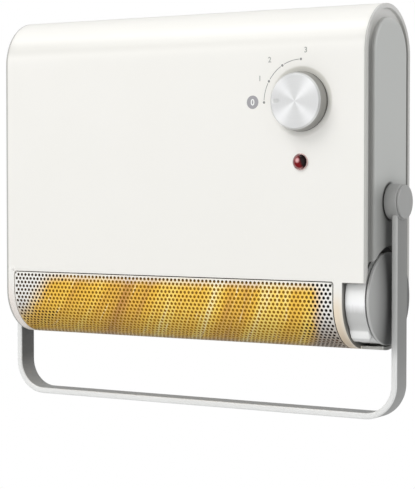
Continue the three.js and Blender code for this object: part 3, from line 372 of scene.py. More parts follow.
def at_x(points, x):
    """Puts one and the same coordinate before each point."""
    return np.column_stack([np.full(len(points), x), points])


def turned(profile, axis, centre, steps=96):
    """A profile of (distance along the axis, radius) turned round an axis through the centre."""
    profile = np.asarray(profile, float)
    turn = full_turn(steps)
    along = np.repeat(profile[:, :1], steps, 1)
    u = profile[:, 1:] * np.cos(turn)
    v = profile[:, 1:] * np.sin(turn) + centre[2]
    points = np.stack([along, u + centre[1], v] if axis == "x" else [u + centre[0], along, v], -1)
    return points, grid_quads(len(profile), steps, wrap=True)


def rounded(points, radius, steps=5):
    """Rounds the inner corners of an open polyline of (a, b) points, with one radius or one for each."""
    points = np.asarray(points, float)
    out = [points[0]]
    share = np.linspace(0, 1, steps)[:, None]
    radii = np.broadcast_to(radius, len(points))
    for before, corner, after, size in zip(points, points[1:], points[2:], radii[1:]):
        lengths = [np.linalg.norm(end - corner) for end in (before, after)]
        first, second = (before - corner) / lengths[0], (after - corner) / lengths[1]
        half = math.acos(np.clip(first @ second, -1, 1)) / 2
        reach = min(size / math.tan(half), min(lengths) / 2)
        start, end = corner + first * reach, corner + second * reach
        out.extend((1 - share) ** 2 * start + 2 * share * (1 - share) * corner + share ** 2 * end)
    out.append(points[-1])
    return np.array(out)


def extruded(outline, lift, low, high):
    """A closed outline of (a, b) points carried between two places, with both ends closed."""
    outline = np.asarray(outline, float)
    count = len(outline)
    points = np.concatenate([lift(outline, low), lift(outline, high)])
    sides = [[i, (i + 1) % count, count + (i + 1) % count, count + i] for i in range(count)]
    return points, sides + [list(range(count))[::-1], list(range(count, 2 * count))]


def capped(rows):
    """A tube whose rows are closed loops of points, with a face over either end."""
    count = rows.shape[1]
    return [
        (rows, grid_quads(len(rows), count, wrap=True)),
        (rows[0], [list(range(count))]), (rows[-1], [list(range(count))[::-1]]),
    ]


# %% [markdown]
# ## The white shell
# The shell is one moulding: a sheet bent to the casing's profile, with a window for the outlet, a
# notch for the thumb drum, and a shallow dish round the dial. A boolean would leave long thin faces
# on the bend, so the sheet is drawn as a grid over (x, distance along the profile) instead. Grid
# lines lie on the edges of the window and the notch, cells inside them are left out, and a fan of
# triangles rounds each corner. The dish is pressed in by a smooth step of the distance to the dial.

# %% Casing sizes
low, high = corners("front_shell")
HALF_LENGTH = high[0]
CASE_DEPTH = -low[1]
ROUND = CASE_DEPTH / 2
ARCH = high[2] - ROUND
AXIS_Y = -ROUND
WALL = 3.0
FLAT = 2 * ARCH
SEAM_TURN = math.acos(-(high[1] - AXIS_Y) / ROUND)

dial_low, dial_high = corners("control_knob")
DIAL_X, _, DIAL_Z = (dial_low + dial_high) / 2
DISH_RADIUS, DISH_FLOOR, DISH_DEPTH = 36.0, 29.5, 1.2
lens_low, lens_high = corners("indicator_lens")
LAMP_X, _, LAMP_Z = (lens_low + lens_high) / 2

sheet_low, sheet_high = corners("outlet_grille")
SHEET_GAP = 1.0
SHEET_WRAP = math.radians(100)
CORNER = 3.0
drum_low, drum_high = corners("guide_drum")
NOTCH_LEFT = drum_low[0] - 0.5
NOTCH_TOP = -104.2
NOTCH_WRAP = math.radians(78)
print("casing", round(2 * HALF_LENGTH, 1), "x", round(CASE_DEPTH, 1), "mm, arch at", round(ARCH, 1))


def profile_point(x, s, inset=0.0):
    """Point of the casing's skin: s runs down the front from the top of the flat, and the distance
    past either end of the flat becomes an angle round the half circle there."""
    radius = ROUND - inset
    above = np.clip(-s, 0, None) / ROUND
    below = np.clip(s - FLAT, 0, None) / ROUND
    y = AXIS_Y - radius * np.cos(above + below)
    z = ARCH - np.clip(s, 0, FLAT) + radius * np.sin(above) - radius * np.sin(below)
    return np.stack([x, y, z], -1)


def inset_at(y, z):
    """How far a shader's point lies in from the casing's outline, in metres."""
    out = y - AXIS_Y * MM
    over = (z.maths("ABSOLUTE") - ARCH * MM).maths("MAXIMUM", 0.0)
    return ROUND * MM - (out * out + over * over) ** 0.5


# %% Front shell
# Painted light and shade on the white shell: a painted shade band under the crown, painted warm light from
# the outlet's glow beside the rib and at the left end, painted shade low on the rib, on the bottom strip
# and on the notch's cut edges, and painted shade round the upper side of the dial's dish.


def shell_finish():
    made = Finish("shell_white", Roughness=0.34)
    x, _, z = made.axes()
    low, deep = (-z).step(0.106, 0.135), (-z).step(0.138, 0.172)
    crown = z.band((ARCH + 7) * MM, (ARCH + 16) * MM, (ARCH + 19) * MM, (ARCH + 29) * MM)
    rib = x.band(0.180, 0.187, 0.190, 0.202)
    end = 1 - x.step(-0.215, -0.209)
    lip = x.step(0.1975, 0.1990) * (-z).step(0.150, 0.158)
    side = x.band(0.1958, 0.1962, 0.1968, 0.1972) * (-z).step(0.1036, 0.1042)
    roof = (-z).band(0.1034, 0.1040, 0.1046, 0.1050) * x.step(0.1960, 0.1966)
    u, _, w = made.axes(DIAL_X, 0, DIAL_Z)
    ring = ((u * u + w * w) ** 0.5).band(0.0285, 0.0300, 0.0335, 0.0362)
    high = (w * 0.8 + u * 0.25 + 0.012).step(0.0, 0.030)
    made.base(
        made.drift("#f1efe9", "#f4f2ed"), (crown, "#e3e1db"), (rib * low * 0.75, "#efdabb"),
        (rib * deep * 0.55, "#a08a6c"), (end * low * 0.5, "#efe2da"), (lip * 0.6, "#86847f"),
        (side.maths("MAXIMUM", roof) * 0.85, "#5c5b58"), (ring * (high * 0.5 + 0.1), "#cdcbc0"),
    )
    made.grain(1800.0)
    return made


shell_white = shell_finish()
WINDOW = (
    sheet_low[0] - SHEET_GAP, sheet_high[0] + SHEET_GAP,
    ARCH - sheet_high[2] - 0.3, FLAT + ROUND * SHEET_WRAP,
)
NOTCH = (NOTCH_LEFT, HALF_LENGTH, ARCH - NOTCH_TOP, FLAT + ROUND * NOTCH_WRAP)
SEAM_RUN = ROUND * SEAM_TURN
DIAL_S, LAMP_S = ARCH - DIAL_Z, ARCH - LAMP_Z
SWITCH_HOLE, LAMP_HOLE = 6.0, 5.6
HOLES = [(x - half, x + half, s - half, s + half)
         for x, s, half in ((DIAL_X, DIAL_S, SWITCH_HOLE), (LAMP_X, LAMP_S, LAMP_HOLE))]


def merged_lines(*groups):
    """Sorted grid lines without near repeats."""
    lines = np.sort(np.concatenate([np.atleast_1d(group) for group in groups]))
    return lines[np.concatenate([[True], np.diff(lines) > 1e-4])]


def shell_sheet():
    dish = np.arange(-38, 38.5, 1.0)
    corner = np.array([0, CORNER])
    xs = merged_lines(
        np.linspace(-HALF_LENGTH, HALF_LENGTH, 45), DIAL_X + dish, *[hole[:2] for hole in HOLES],
        WINDOW[0] + corner, WINDOW[1] - corner, NOTCH[0],
    )
    ss = merged_lines(
        np.linspace(-SEAM_RUN, 0, 30), np.linspace(0, FLAT, 20), np.linspace(FLAT, FLAT + SEAM_RUN, 30),
        DIAL_S + dish, *[hole[2:] for hole in HOLES], WINDOW[2] + corner, WINDOW[3], NOTCH[2:],
    )
    down, across = np.meshgrid(ss, xs, indexing="ij")
    points = profile_point(across, down)
    reach = np.hypot(across - DIAL_X, points[..., 2] - DIAL_Z)
    points[..., 1] += DISH_DEPTH * smooth(-reach, -DISH_RADIUS, -DISH_FLOOR)
    cell_s, cell_x = np.meshgrid(*[(lines[1:] + lines[:-1]) / 2 for lines in (ss, xs)], indexing="ij")
    gone = np.zeros(cell_x.shape, bool)
    for x0, x1, s0, s1 in (WINDOW, NOTCH, *HOLES):
        gone |= (cell_x > x0) & (cell_x < x1) & (cell_s > s0) & (cell_s < s1)
    return points, grid_quads(len(ss), len(xs))[~gone.reshape(-1)]


def corner_arc(x, s, side, radius, steps):
    """Quarter circle in an upper corner: side is 1 at the left and -1 at the right."""
    turn = np.linspace(0, np.pi / 2, steps)
    return x + side * radius * (1 - np.sin(turn)), s + radius * (1 - np.cos(turn))


def corner_fan(hub, x, s, side, radius, steps, depth=0.0):
    """Triangles between a hub and the arc of an upper corner."""
    arc_x, arc_s = corner_arc(x, s, side, radius, steps)
    fan = np.array([[0, i, i + 1] for i in range(1, steps)])
    return profile_point(np.append(hub[0], arc_x), np.append(hub[1], arc_s), depth), fan


window_corners = [corner_fan((x, WINDOW[2]), x, WINDOW[2], side, CORNER, 8)
                  for x, side in ((WINDOW[0], 1), (WINDOW[1], -1))]
front_shell = build(
    "front_shell_skin", "heater", shell_white, [shell_sheet()] + window_corners,
    thickness=WALL, bevel=0.5,
)
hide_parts("front_shell")
print("front shell", len(front_shell.data.polygons), "faces")

# %% [markdown]
# The rib between the outlet and the notch closes the shell like a bulkhead, and the drum's shaft
# runs through it. It is a ring between the shaft hole and the casing's inner profile.

# %% Bulkhead rib
DRUM_Z = -121.5
drum_centre = ((drum_low[0] + drum_high[0]) / 2, AXIS_Y, DRUM_Z)
BULKHEAD = 2.5
SHAFT_HOLE = 4.6


def bulkhead_ring():
    run = np.linspace(FLAT - 46, FLAT + SEAM_RUN, 36)
    outer = profile_point(np.zeros_like(run), run, WALL - 0.1)[:, 1:]
    spoke = outer - drum_centre[1:]
    inner = SHAFT_HOLE * spoke / np.linalg.norm(spoke, axis=1)[:, None] + drum_centre[1:]
    right, left = NOTCH_LEFT, NOTCH_LEFT - BULKHEAD
    loop = ((left, inner), (left, outer), (right, outer), (right, inner), (left, inner))
    return np.stack([at_x(ring, x) for x, ring in loop]), grid_quads(5, len(run))


# The rib is white moulding, given a dark grey as painted shade, for its face lies in shadow inside the
# notch.
rib_painted_shade = moulded("rib_painted_shade", "#6b6a67", 0.6)
build("shell_rib", "heater", rib_painted_shade, [bulkhead_ring()])

# %% [markdown]
# ## The perforated outlet
# The sheet has staggered rows of 3.4 mm holes, 4.8 mm apart. One cell holds one eight-sided hole
# inside a rectangle, and every cell is the same 16 points, so all of them are made at once: the hole
# points and the rectangle points are arrays of shape (cells, 8, 2) that are then bent round the
# bottom of the casing. Every other row, from the first on, is shifted by half a cell.

# %% Outlet sheet
HOLE_PITCH, ROW_PITCH, HOLE_RADIUS = 4.8, 4.17, 1.68
SHEET = 0.8
SIDE_MARGIN, TOP_MARGIN, LOWER_MARGIN = 0.15, 0.9, 1.6
LEFT, RIGHT = sheet_low[0], sheet_high[0]
TOP, BOTTOM = ARCH - sheet_high[2] + 0.7, FLAT + ROUND * SHEET_WRAP
ROUND_OFF = CORNER - SHEET_GAP


def sheet_cells():
    """Cells with a hole in staggered rows, and the sizes of their grid."""
    x0, x1 = LEFT + SIDE_MARGIN, RIGHT - SIDE_MARGIN
    s0, s1 = TOP + TOP_MARGIN, BOTTOM - LOWER_MARGIN
    columns = int(round((x1 - x0) / HOLE_PITCH - 0.5))
    rows = int(round((s1 - s0) / ROW_PITCH))
    pitch = (x1 - x0) / (columns + 0.5)
    rise = (s1 - s0) / rows
    row, column = np.indices((rows, columns)).reshape(2, -1)
    middle = np.stack([x0 + (column + 0.5 + 0.5 * ((row + 1) % 2)) * pitch, s0 + (row + 0.5) * rise], -1)
    edge = np.array([[-1, -1], [0, -1], [1, -1], [1, 0], [1, 1], [0, 1], [-1, 1], [-1, 0]])
    cell = middle[:, None] + edge * np.array([pitch / 2, rise / 2])
    turn = np.arctan2(edge[:, 1], edge[:, 0])
    hole = middle[:, None] + polar(0, 0, HOLE_RADIUS, turn)
    return cell, hole, (x0, x1, s0, s1, pitch, rise, rows)


def outlet_sheet():
    cell, hole, (x0, x1, s0, s1, pitch, rise, rows) = sheet_cells()
    count = len(cell)
    points = np.concatenate([
        profile_point(part[..., 0], part[..., 1], depth).reshape(-1, 3)
        for depth in (0.0, SHEET) for part in (cell, hole)
    ])
    layer = count * 8
    base = np.arange(count)[:, None] * 8
    here, after = base + np.arange(8), base + (np.arange(8) + 1) % 8
    quads = [
        np.stack([here, after, after + layer, here + layer], -1),
        np.stack([here + 2 * layer, here + 3 * layer, after + 3 * layer, after + 2 * layer], -1),
        np.stack([here + layer, after + layer, after + 3 * layer, here + 3 * layer], -1),
    ]
    pieces = [(points, np.concatenate([quad.reshape(-1, 4) for quad in quads]))]

    def strip(xs, ss):
        across, down = np.meshgrid(xs, ss)
        for depth in (0.0, SHEET):
            pieces.append((profile_point(across, down, depth), grid_quads(len(ss), len(xs))))

    half_steps = x0 + np.arange(int(round((x1 - x0) / pitch * 2)) + 1) * pitch / 2
    row_lines = s0 + np.arange(2 * rows + 1) * rise / 2
    strip(np.concatenate([[LEFT + ROUND_OFF], half_steps[1:-1], [RIGHT - ROUND_OFF]]), [TOP, s0])
    strip(np.concatenate([[LEFT], half_steps, [RIGHT]]), [s1, BOTTOM])
    side_lines = merged_lines(TOP + ROUND_OFF, row_lines[row_lines > TOP + ROUND_OFF], s1)
    for edge, near in ((LEFT, x0), (RIGHT, x1)):
        strip(sorted([edge, near]), side_lines)
    for row in range(rows):
        near = x1 - pitch / 2 if row % 2 else x0
        strip([near, near + pitch / 2], s0 + rise * (row + np.array([0, 0.5, 1])))
    for edge, side in ((LEFT, 1), (RIGHT, -1)):
        hub = (edge + side * ROUND_OFF, TOP + ROUND_OFF)
        pieces.extend(corner_fan(hub, edge, TOP, side, ROUND_OFF, 7, depth) for depth in (0.0, SHEET))
    return pieces


def rim_of_sheet():
    """The cut edge all round the sheet."""
    down = np.linspace(TOP + ROUND_OFF, BOTTOM, 60)
    across = np.linspace(LEFT, RIGHT, 60)
    (left_x, left_s), (right_x, right_s) = [
        corner_arc(edge, TOP, side, ROUND_OFF, 7) for edge, side in ((LEFT, 1), (RIGHT, -1))]
    xs = np.concatenate([left_x[::-1], [RIGHT - ROUND_OFF], right_x, np.full(60, RIGHT), across[::-1],
                         np.full(60, LEFT)])
    ss = np.concatenate([left_s[::-1], [TOP], right_s, down, np.full(60, BOTTOM), down[::-1]])
    rows = np.stack([profile_point(xs, ss, depth) for depth in (0.0, SHEET)])
    return rows, grid_quads(2, len(xs), wrap=True)


# %% [markdown]
# While the heater runs, painted light stands in for its glow: the middle of the sheet's length is painted
# gold, with painted slanting streaks of lighter and darker amber, and carries a small emission. Both ends
# stay plain silver. The streaks are one noise, stretched along a slanting direction by a Mapping node, and
# the emission is small, so the sheet keeps its own highlights.

# %% Glowing sheet finish
GLOW_START = -0.166
GLOW_STOP = 0.175


def slanted_run(x, y, z):
    """Place along the sheet, in a slant that fans out from steep at the right to leaning at the left."""
    lean = 0.36 - x * 1.97
    return x + (y + 0.1) * 0.618 - (z + 0.105) * lean


def glowing_sheet():
    made = Finish("glowing_sheet", IOR=1.5)
    x, y, z = made.axes()
    run = slanted_run(x, y, z)
    slant = made.node("ShaderNodeCombineXYZ", {}, {"X": run, "Y": z * 0.12, "Z": 0.0})
    wide, narrow = made.noise(slant, 26.0, 1.0), made.noise(slant, 110.0, 2.0, 0.6)
    lines = made.noise(slant, 330.0, 1.0)
    patch = made.noise((60, 60, 60))
    inside = (run + (patch - 0.5) * 0.012).band(
        GLOW_START - 0.012, GLOW_START + 0.018, GLOW_STOP - 0.014, GLOW_STOP + 0.004)
    upper = 1 - (z + (patch - 0.5) * 0.006).step(-0.1160, -0.1022)
    lower = z.step(-0.1735, -0.1660)
    glow = inside * upper * (lower * 0.75 + 0.25)
    amber = made.ramp(
        (wide - 0.5) * 1.7 + (narrow - 0.5) * 0.75 + 0.48, (0.0, "#bd8342"), (0.2, "#d8a24e"),
        (0.38, "#ebb742"), (0.58, "#f5c445"), (0.8, "#fbd968"), (1.0, "#fdeeb4"))
    amber = made.mix(lines.step(0.56, 0.72) * narrow.step(0.48, 0.62) * 0.7, amber, "#fdeec6")
    # Painted shade towards the bottom of the bend, on the silver and on the amber, and painted shade in the
    # hole walls: near black at the ends, deep amber in the glow.
    deep = made.mix(z.step(-0.172, -0.128), "#8f8070", "#f0eee9")
    silver = made.mix(z.step(-0.120, -0.106), deep, "#f4f2ec")
    lit = made.mix(z.step(-0.168, -0.134), made.mix(0.5, amber, "#70642f"), amber)
    hole_wall = inset_at(y, z).step(0.0002, 0.0004)
    made.base(silver, (glow, lit), (hole_wall, made.mix(glow, "#15110e", "#a47a26")))
    made.set("Roughness", glow * 0.1 + 0.36)
    made.glow(made.mix(glow * (1 - hole_wall), "#000000", amber), 0.06)
    return made


outlet_grille = build(
    "outlet_grille_sheet", "heater", glowing_sheet(), outlet_sheet() + [rim_of_sheet()],
    crease=30,
)
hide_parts("outlet_grille")
print("outlet sheet", len(outlet_grille.data.polygons), "faces")

# %% [markdown]
# ## Side covers
# Each cover is a lid of one section carried round the casing's outline: a rim just proud of the
# shell, a dark groove, and a raised panel with a soft edge. The section is a list of (distance in
# from the outline, X) points. The right-hand lid is then cut by the drum's round opening, and by
# the thumb notch in front of it, so that only a thin strip is left under the drum.

# %% Places of the side pieces
RIM_X = HALF_LENGTH + 2.3
PANEL_X = corners("right_side_cover")[1][0]
OPENING_RADIUS, OPENING_FLARE = 48.2, 4.8
FLARE_MIDDLE, FLARE_SPREAD = 125, 75
CUTTER_FROM, CUTTER_TO = 205, 240
PIVOT_Z = -24.4
hub_low, hub_high = corners("right_pivot_hub")
HUB_RADIUS = (hub_high[2] - hub_low[2]) / 2
SHADE_RING_INNER, SHADE_RING_OUTER, SHADE_RING_HALF = 46.2, 55.0, 46.7
SHADE_RING_FROM, SHADE_RING_TO = 214.6, 216.6

# %% [markdown]
# The grey pieces carry painted light and shade. A cover's groove carries painted shade that lifts at the
# top, its top is painted lighter, and its panel carries painted shade below the pivot and a painted shadow
# round the front of the hub. The end disc carries painted shade towards the back and in its groove, and
# painted light on its rim. The bar's front edge is painted light, lighter than its broad faces, and the
# drum carries painted highlight bands. Each finish below works its masks out from the place on the piece,
# in metres.

# %% Toned finishes


def cover_finish():
    made = Finish("cover_grey", Roughness=0.42)
    _, y, z = made.axes()
    inset = inset_at(y, z)
    groove = inset.band(0.0046, 0.0052, 0.0128, 0.0140)
    panel = inset.step(0.0128, 0.0150)
    low = (-z).step(-0.004, 0.026) * (y.step(-0.090, -0.060) * 0.45 + 0.55)
    top = z.step(ARCH * MM - 0.004, ARCH * MM + 0.036)
    _, v, w = made.axes(0, AXIS_Y, PIVOT_Z)
    around = (v * v + w * w) ** 0.5
    hub_shadow = (1 - around.step((HUB_RADIUS + 1.2) * MM, (HUB_RADIUS + 3.0) * MM)) * (1 - v.step(-0.004, 0.006))
    # Painted shade in the groove, lifted at the top; painted shade on the panel below the pivot; painted
    # light along the top; a painted shadow round the front of the hub.
    made.base(
        made.drift("#b9b8b4", "#bebdb9"), (panel, made.drift("#b8b9b6", "#bcbdba")),
        (groove * (1 - top * 0.9), "#868683"), (panel * low, "#7d7d7b"),
        (z.step(0.150, 0.166), "#cecdca"), (hub_shadow, "#444442"),
    )
    made.grain()
    return made


def disc_finish():
    made = Finish("disc_grey", Roughness=0.4)
    x, y, _ = made.axes()
    rim, deep = (-x).step(-0.2243, -0.2228), (-x).step(-0.2210, -0.2206)
    # Painted shade towards the back and in the groove, and painted light on the rim that faces the front.
    made.base("#a6a6a4", (y.step(-0.097, -0.058), "#696968"), (rim, "#bcbcba"), (deep, "#3c3c3a"))
    made.grain()
    return made


def rail_finish():
    made = Finish("rail_grey", Roughness=0.36)
    x, y, z = made.axes()
    front = (-y).step(0.0602, 0.0614)
    shaded = x.step(0.18, 0.20) * z.step(-0.186, -0.160)
    inner = (-x).step(0.2, 0.21) * z.step(-0.222, -0.196)
    tone = made.noise(scale=14.0, detail=3.0)
    low = (-z).step(0.150, 0.235) * (0.6 + tone * 0.4)
    # Painted light and shade: the front edge is painted lit, with painted shade on the right arm beside the
    # casing; the broad faces are darker, painted lighter low down, with painted shade on the left arm's
    # inner face.
    edge = made.paint("#e4e4e2", (tone, "#ededeb"), (shaded, "#bbbbb9"))
    made.base("#868684", (low, "#9c9c9a"), (inner, "#656563"), (front, edge))
    made.grain(1200.0, 0.2)
    return made


def drum_finish():
    """Satin silver paint, with painted highlight and shade bands that follow the turn about the drum's
    axis, and painted light on the tab, darker at its lowest part.
    """
    made = Finish("drum_silver", Roughness=0.3)
    _, y, z = made.axes(0, AXIS_Y, DRUM_Z)
    reach = (y * y + z * z) ** 0.5
    height = z / reach
    tab = (reach - 0.0463).step(-0.0003, 0.0008)
    lines = made.noise((900, 30, 30))
    band = made.ramp(
        height * 0.5 + 0.5 + (lines - 0.5) * 0.04, (0.0, "#e0e0de"), (0.24, "#c8c8c6"), (0.36, "#cacac8"),
        (0.46, "#ffffff"), (0.54, "#fafaf8"), (0.66, "#ececea"), (0.75, "#e4e4e2"))
    raised = made.mix((-height).step(0.76, 0.80), "#fafaf8", "#dededc")
    made.base(band, (tab, raised))
    return made


cover_grey = cover_finish()
disc_grey = disc_finish()
rail_grey = rail_finish()
drum_silver = drum_finish()
hub_grey = moulded("hub_grey", "#a1a19f", 0.38)

# %% Side covers


def outline(inset, arc_steps=40, side_steps=10):
    """The casing's outline as a closed loop of (y, z), a given distance in from the skin."""
    turn = np.linspace(0, np.pi, arc_steps + 1)
    radius = ROUND - inset
    rise = np.linspace(-ARCH, ARCH, side_steps + 1)[1:-1]
    top, bottom = polar(AXIS_Y, ARCH, radius, np.pi - turn), polar(AXIS_Y, -ARCH, radius, -turn)
    return np.concatenate([top, at_x(rise[::-1], AXIS_Y + radius), bottom, at_x(rise, AXIS_Y - radius)])


def cover_pieces(side):
    face = rounded([(20, PANEL_X), (13.6, PANEL_X), (13.6, 219.2), (5.1, 219.2), (4.7, RIM_X), (0, RIM_X),
                    (0, 219.9)], [0, 3.4, 0.5, 0.5, 0.7, 0.7, 0], 6)
    section = np.concatenate([face, [(3.2, 219.9), (3.2, 214.2), (5.2, 214.2), (5.2, 217.0), (20, 217.0)]])
    return capped(np.stack([at_x(outline(inset), side * x) for inset, x in section]))


left_cover = build("left_side_cover_skin", "heater", cover_grey, cover_pieces(-1))
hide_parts("left_side_cover")
right_cover = build("right_side_cover_skin", "heater", cover_grey, cover_pieces(1))
turn = full_turn(144)
flare = np.clip(1 - np.abs(turn - np.radians(FLARE_MIDDLE)) / np.radians(FLARE_SPREAD), 0, 0.5) * 2
flare = OPENING_RADIUS + OPENING_FLARE * flare
opening = polar(AXIS_Y, DRUM_Z, flare, turn)
ray_y, ray_z = polar(AXIS_Y, -ARCH, -80, NOTCH_WRAP)
notch_cut = [(AXIS_Y, NOTCH_TOP), (-130, NOTCH_TOP), (-130, ray_z), (ray_y, ray_z), (AXIS_Y, -ARCH)]
for name, cut in (("opening_cutter", opening), ("notch_cutter", notch_cut)):
    carve(right_cover, plain(name, [extruded(cut, at_x, CUTTER_FROM, CUTTER_TO)]))
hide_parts("right_side_cover")
# The dark ring behind the opening is painted shade: a dark sheet that darkens the gap round the end disc,
# where only shade would be.
shade_ring_turn = np.radians(np.linspace(8, 156, 75))
shade_ring_loop = np.concatenate([polar(AXIS_Y, DRUM_Z, SHADE_RING_INNER, shade_ring_turn),
                              polar(AXIS_Y, DRUM_Z, SHADE_RING_OUTER, shade_ring_turn[::-1])])
shade_ring_loop[:, 0] = np.clip(shade_ring_loop[:, 0], AXIS_Y - SHADE_RING_HALF, AXIS_Y + SHADE_RING_HALF)
shade_ring_dark = moulded("shade_ring_dark", "#343432", 0.6)
shade_ring = extruded(shade_ring_loop, at_x, SHADE_RING_FROM, SHADE_RING_TO)
build("opening_shade_ring", "heater", shade_ring_dark, [shade_ring])
print("right cover", len(right_cover.data.polygons), "faces")

# %% [markdown]
# ## The thumb drum and its end disc
# A thumb turns the drum by its tab, which tilts the air guide behind the outlet. The drum's skin is
# a grid over (x, angle below the front). The tab is added to the radius: a ramp that leaves the
# drum, a lip, and a steep way back, all faded out round the rounded lower right-hand corner.

# %% Guide drum
DRUM_RADIUS = drum_high[2] - DRUM_Z
SHAFT_RADIUS = 5
TAB_RISE = 3.9
TAB_TOP, TAB_CREST, TAB_LIP, TAB_END = 36.0, 51.5, 58.0, 61.0
TAB_ROUND, TAB_ROUND_TOP = 9.0, 49
DRUM_EDGE = 0.9


def drum_skin():
    x0, x1 = drum_low[0], drum_high[0]
    side = rounded([(x0, 0), (x0, 1), (x1, 1), (x1, 0)], [0, DRUM_EDGE, DRUM_EDGE, 0], 5)
    across = np.concatenate([side[1:6, 0], np.linspace(x0 + 1.2, x1 - 1.2, 26), side[6:11, 0]])
    base = DRUM_RADIUS - DRUM_EDGE + DRUM_EDGE * np.concatenate([side[1:6, 1], np.ones(26), side[6:11, 1]])
    angle = np.concatenate([np.arange(-150, 33, 3.0), np.arange(33, 66, 0.5), np.arange(66, 210, 3.0)])
    width, down = np.meshgrid(across, angle)
    past_x = np.clip(width - (x1 - TAB_ROUND), 0, None)
    past_z = np.radians(np.clip(down - TAB_ROUND_TOP, 0, None)) * DRUM_RADIUS
    fade = 1 - smooth(np.hypot(past_x, past_z), TAB_ROUND - 1.6, TAB_ROUND)
    straight = np.clip((down - TAB_TOP) / (TAB_CREST - TAB_TOP), 0, 1)
    ramp = smooth(down, TAB_TOP, TAB_CREST) * 0.72 + straight * 0.28
    rise = TAB_RISE * ramp * (1 - smooth(down, TAB_LIP, TAB_END)) * fade
    skin = polar(AXIS_Y, DRUM_Z, -(base + rise), np.radians(down))
    loop = np.concatenate([width[..., None], skin], -1).swapaxes(0, 1)
    hub = polar(AXIS_Y, DRUM_Z, -SHAFT_RADIUS, np.radians(angle))
    grids = loop, np.stack([at_x(hub, x0), loop[0]]), np.stack([loop[-1], at_x(hub, x1)])
    return [(grid, grid_quads(len(grid), len(angle), wrap=True)) for grid in grids]


guide_drum = build("guide_drum_skin", "air_guide", drum_silver, drum_skin(), crease=40)
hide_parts("guide_drum")

# %% End disc
disc_low, disc_high = corners("drum_end_disc")
DISC_RADIUS = disc_high[2] - DRUM_Z
DOME_X = 224.6


def dome(x, radius, crown, steps=14):
    """Points of a shallow dome's section, from its edge at x to its crown on the axis."""
    share = np.linspace(0, 1, steps)
    ball = (radius ** 2 + crown ** 2) / (2 * crown)
    reach = radius * (1 - share)
    rise = np.sqrt(ball ** 2 - reach ** 2) - (ball - crown)
    return np.column_stack([x + rise, np.maximum(reach, ON_AXIS)])


def disc_section():
    edge = rounded([
        (disc_low[0], DISC_RADIUS - 4), (disc_low[0], DISC_RADIUS - 2.4), (220.7, DISC_RADIUS - 2.4),
        (220.9, DISC_RADIUS), (224.0, DISC_RADIUS), (DOME_X, DISC_RADIUS - 2.5),
    ], [0, 0.3, 0.2, 0.4, 1.5, 0], 6)
    crown = dome(DOME_X, DISC_RADIUS - 2.6, disc_high[0] - DOME_X)
    return np.concatenate([[(disc_low[0], ON_AXIS)], edge, crown])


disc_turned = turned(disc_section(), "x", drum_centre, 128)
end_disc = build("end_disc", "air_guide", disc_grey, [disc_turned], crease=40)
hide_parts("drum_end_disc")
print("disc radius", round(DISC_RADIUS, 1), "drum radius", round(DRUM_RADIUS, 1))

# %% [markdown]
# ## Towel rail
# One section, a flat bar with soft edges, is carried along a U: down one arm, round a bend, along
# the bar, and up the other arm. Each row of the grid is that section, set square to the path.

# %% Towel rail
rail_low, rail_high = corners("towel_rail")
BAR_THICK = 6.4
BAR_DEPTH = rail_high[1] - rail_low[1]
BEND = 36.0 - BAR_THICK / 2


def soft_bar(half_thick, half_deep, edge=1.9, steps=6):
    """Closed section of a flat bar whose long edges are rounded."""
    turn = np.linspace(0, np.pi / 2, steps)
    corner = polar(half_thick - edge, half_deep - edge, edge, turn)
    return np.concatenate([corner, corner[::-1] * [-1, 1], corner * [-1, -1], corner[::-1] * [1, -1]])


def rail_sweep():
    x, z = rail_high[0] - BAR_THICK / 2, rail_low[2] + BAR_THICK / 2
    bend = polar(x - BEND, z + BEND, BEND, -np.linspace(0, np.pi / 2, 25))
    arm = at_x(np.linspace(rail_high[2], bend[0, 1], 14)[:-1], x)
    right = np.concatenate([arm, bend])
    bar_x = np.linspace(bend[-1, 0], -bend[-1, 0], 30)[1:-1]
    bar = np.column_stack([bar_x, np.full(len(bar_x), z)])
    path = np.concatenate([right, bar, right[::-1] * [-1, 1]])
    ahead = np.gradient(path, axis=0)
    ahead /= np.linalg.norm(ahead, axis=1)[:, None]
    out = np.column_stack([-ahead[:, 1], ahead[:, 0]])
    section = soft_bar(BAR_THICK / 2, BAR_DEPTH / 2)
    flat = path[:, None] + out[:, None] * section[None, :, :1]
    deep = np.broadcast_to(AXIS_Y + section[None, :, 1], flat.shape[:2])
    return capped(np.stack([flat[..., 0], deep, flat[..., 1]], -1))


towel_rail = build("towel_rail_bar", "towel_rail_assembly", rail_grey, rail_sweep(), crease=50)
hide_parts("towel_rail")

# %% [markdown]
# The arms hang on two drum-shaped hubs. A cap closes each hub, and a narrow groove parts the two.

# %% Hubs and caps


def hub_section(low, high, radius):
    return rounded([(low, 7.0), (low, radius), (high, radius), (high, 7.0)], [0, 1.0, 1.6, 0], 7)


def cap_section(low, high, radius):
    edge = rounded([(low, radius - 3), (low, radius), (high - 0.4, radius), (high - 0.25, radius - 4)],
                   [0, 0.3, 1.1, 0], 6)
    return np.concatenate([[(low, ON_AXIS)], edge, [(high - 0.1, radius * 0.5), (high, ON_AXIS)]])


for side, name in ((1, "right"), (-1, "left")):
    for part, section in (("pivot_hub", hub_section), ("hub_cap", cap_section)):
        low, high = corners(f"{name}_{part}")
        inner, outer = sorted((abs(low[0]), abs(high[0])))
        profile = section(inner, outer, (high[2] - low[2]) / 2) * [side, 1]
        made = build(f"{name}_{part}_turned", "towel_rail_assembly", hub_grey,
                     [turned(profile, "x", (0, AXIS_Y, PIVOT_Z))], crease=50)
        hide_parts(f"{name}_{part}")

# %% [markdown]
# ## The dial
# The knob is turned from aluminium. Its face is spun, and the bright and dark sectors that run out from the
# middle like an X are a painted reflection; its side is finely grooved, with painted shade at its foot. The
# pointer is a shallow pressed oval: the face is a grid of rings, and each point sinks by a smooth step of
# its distance to the pointer's line.

# %% Knob finish


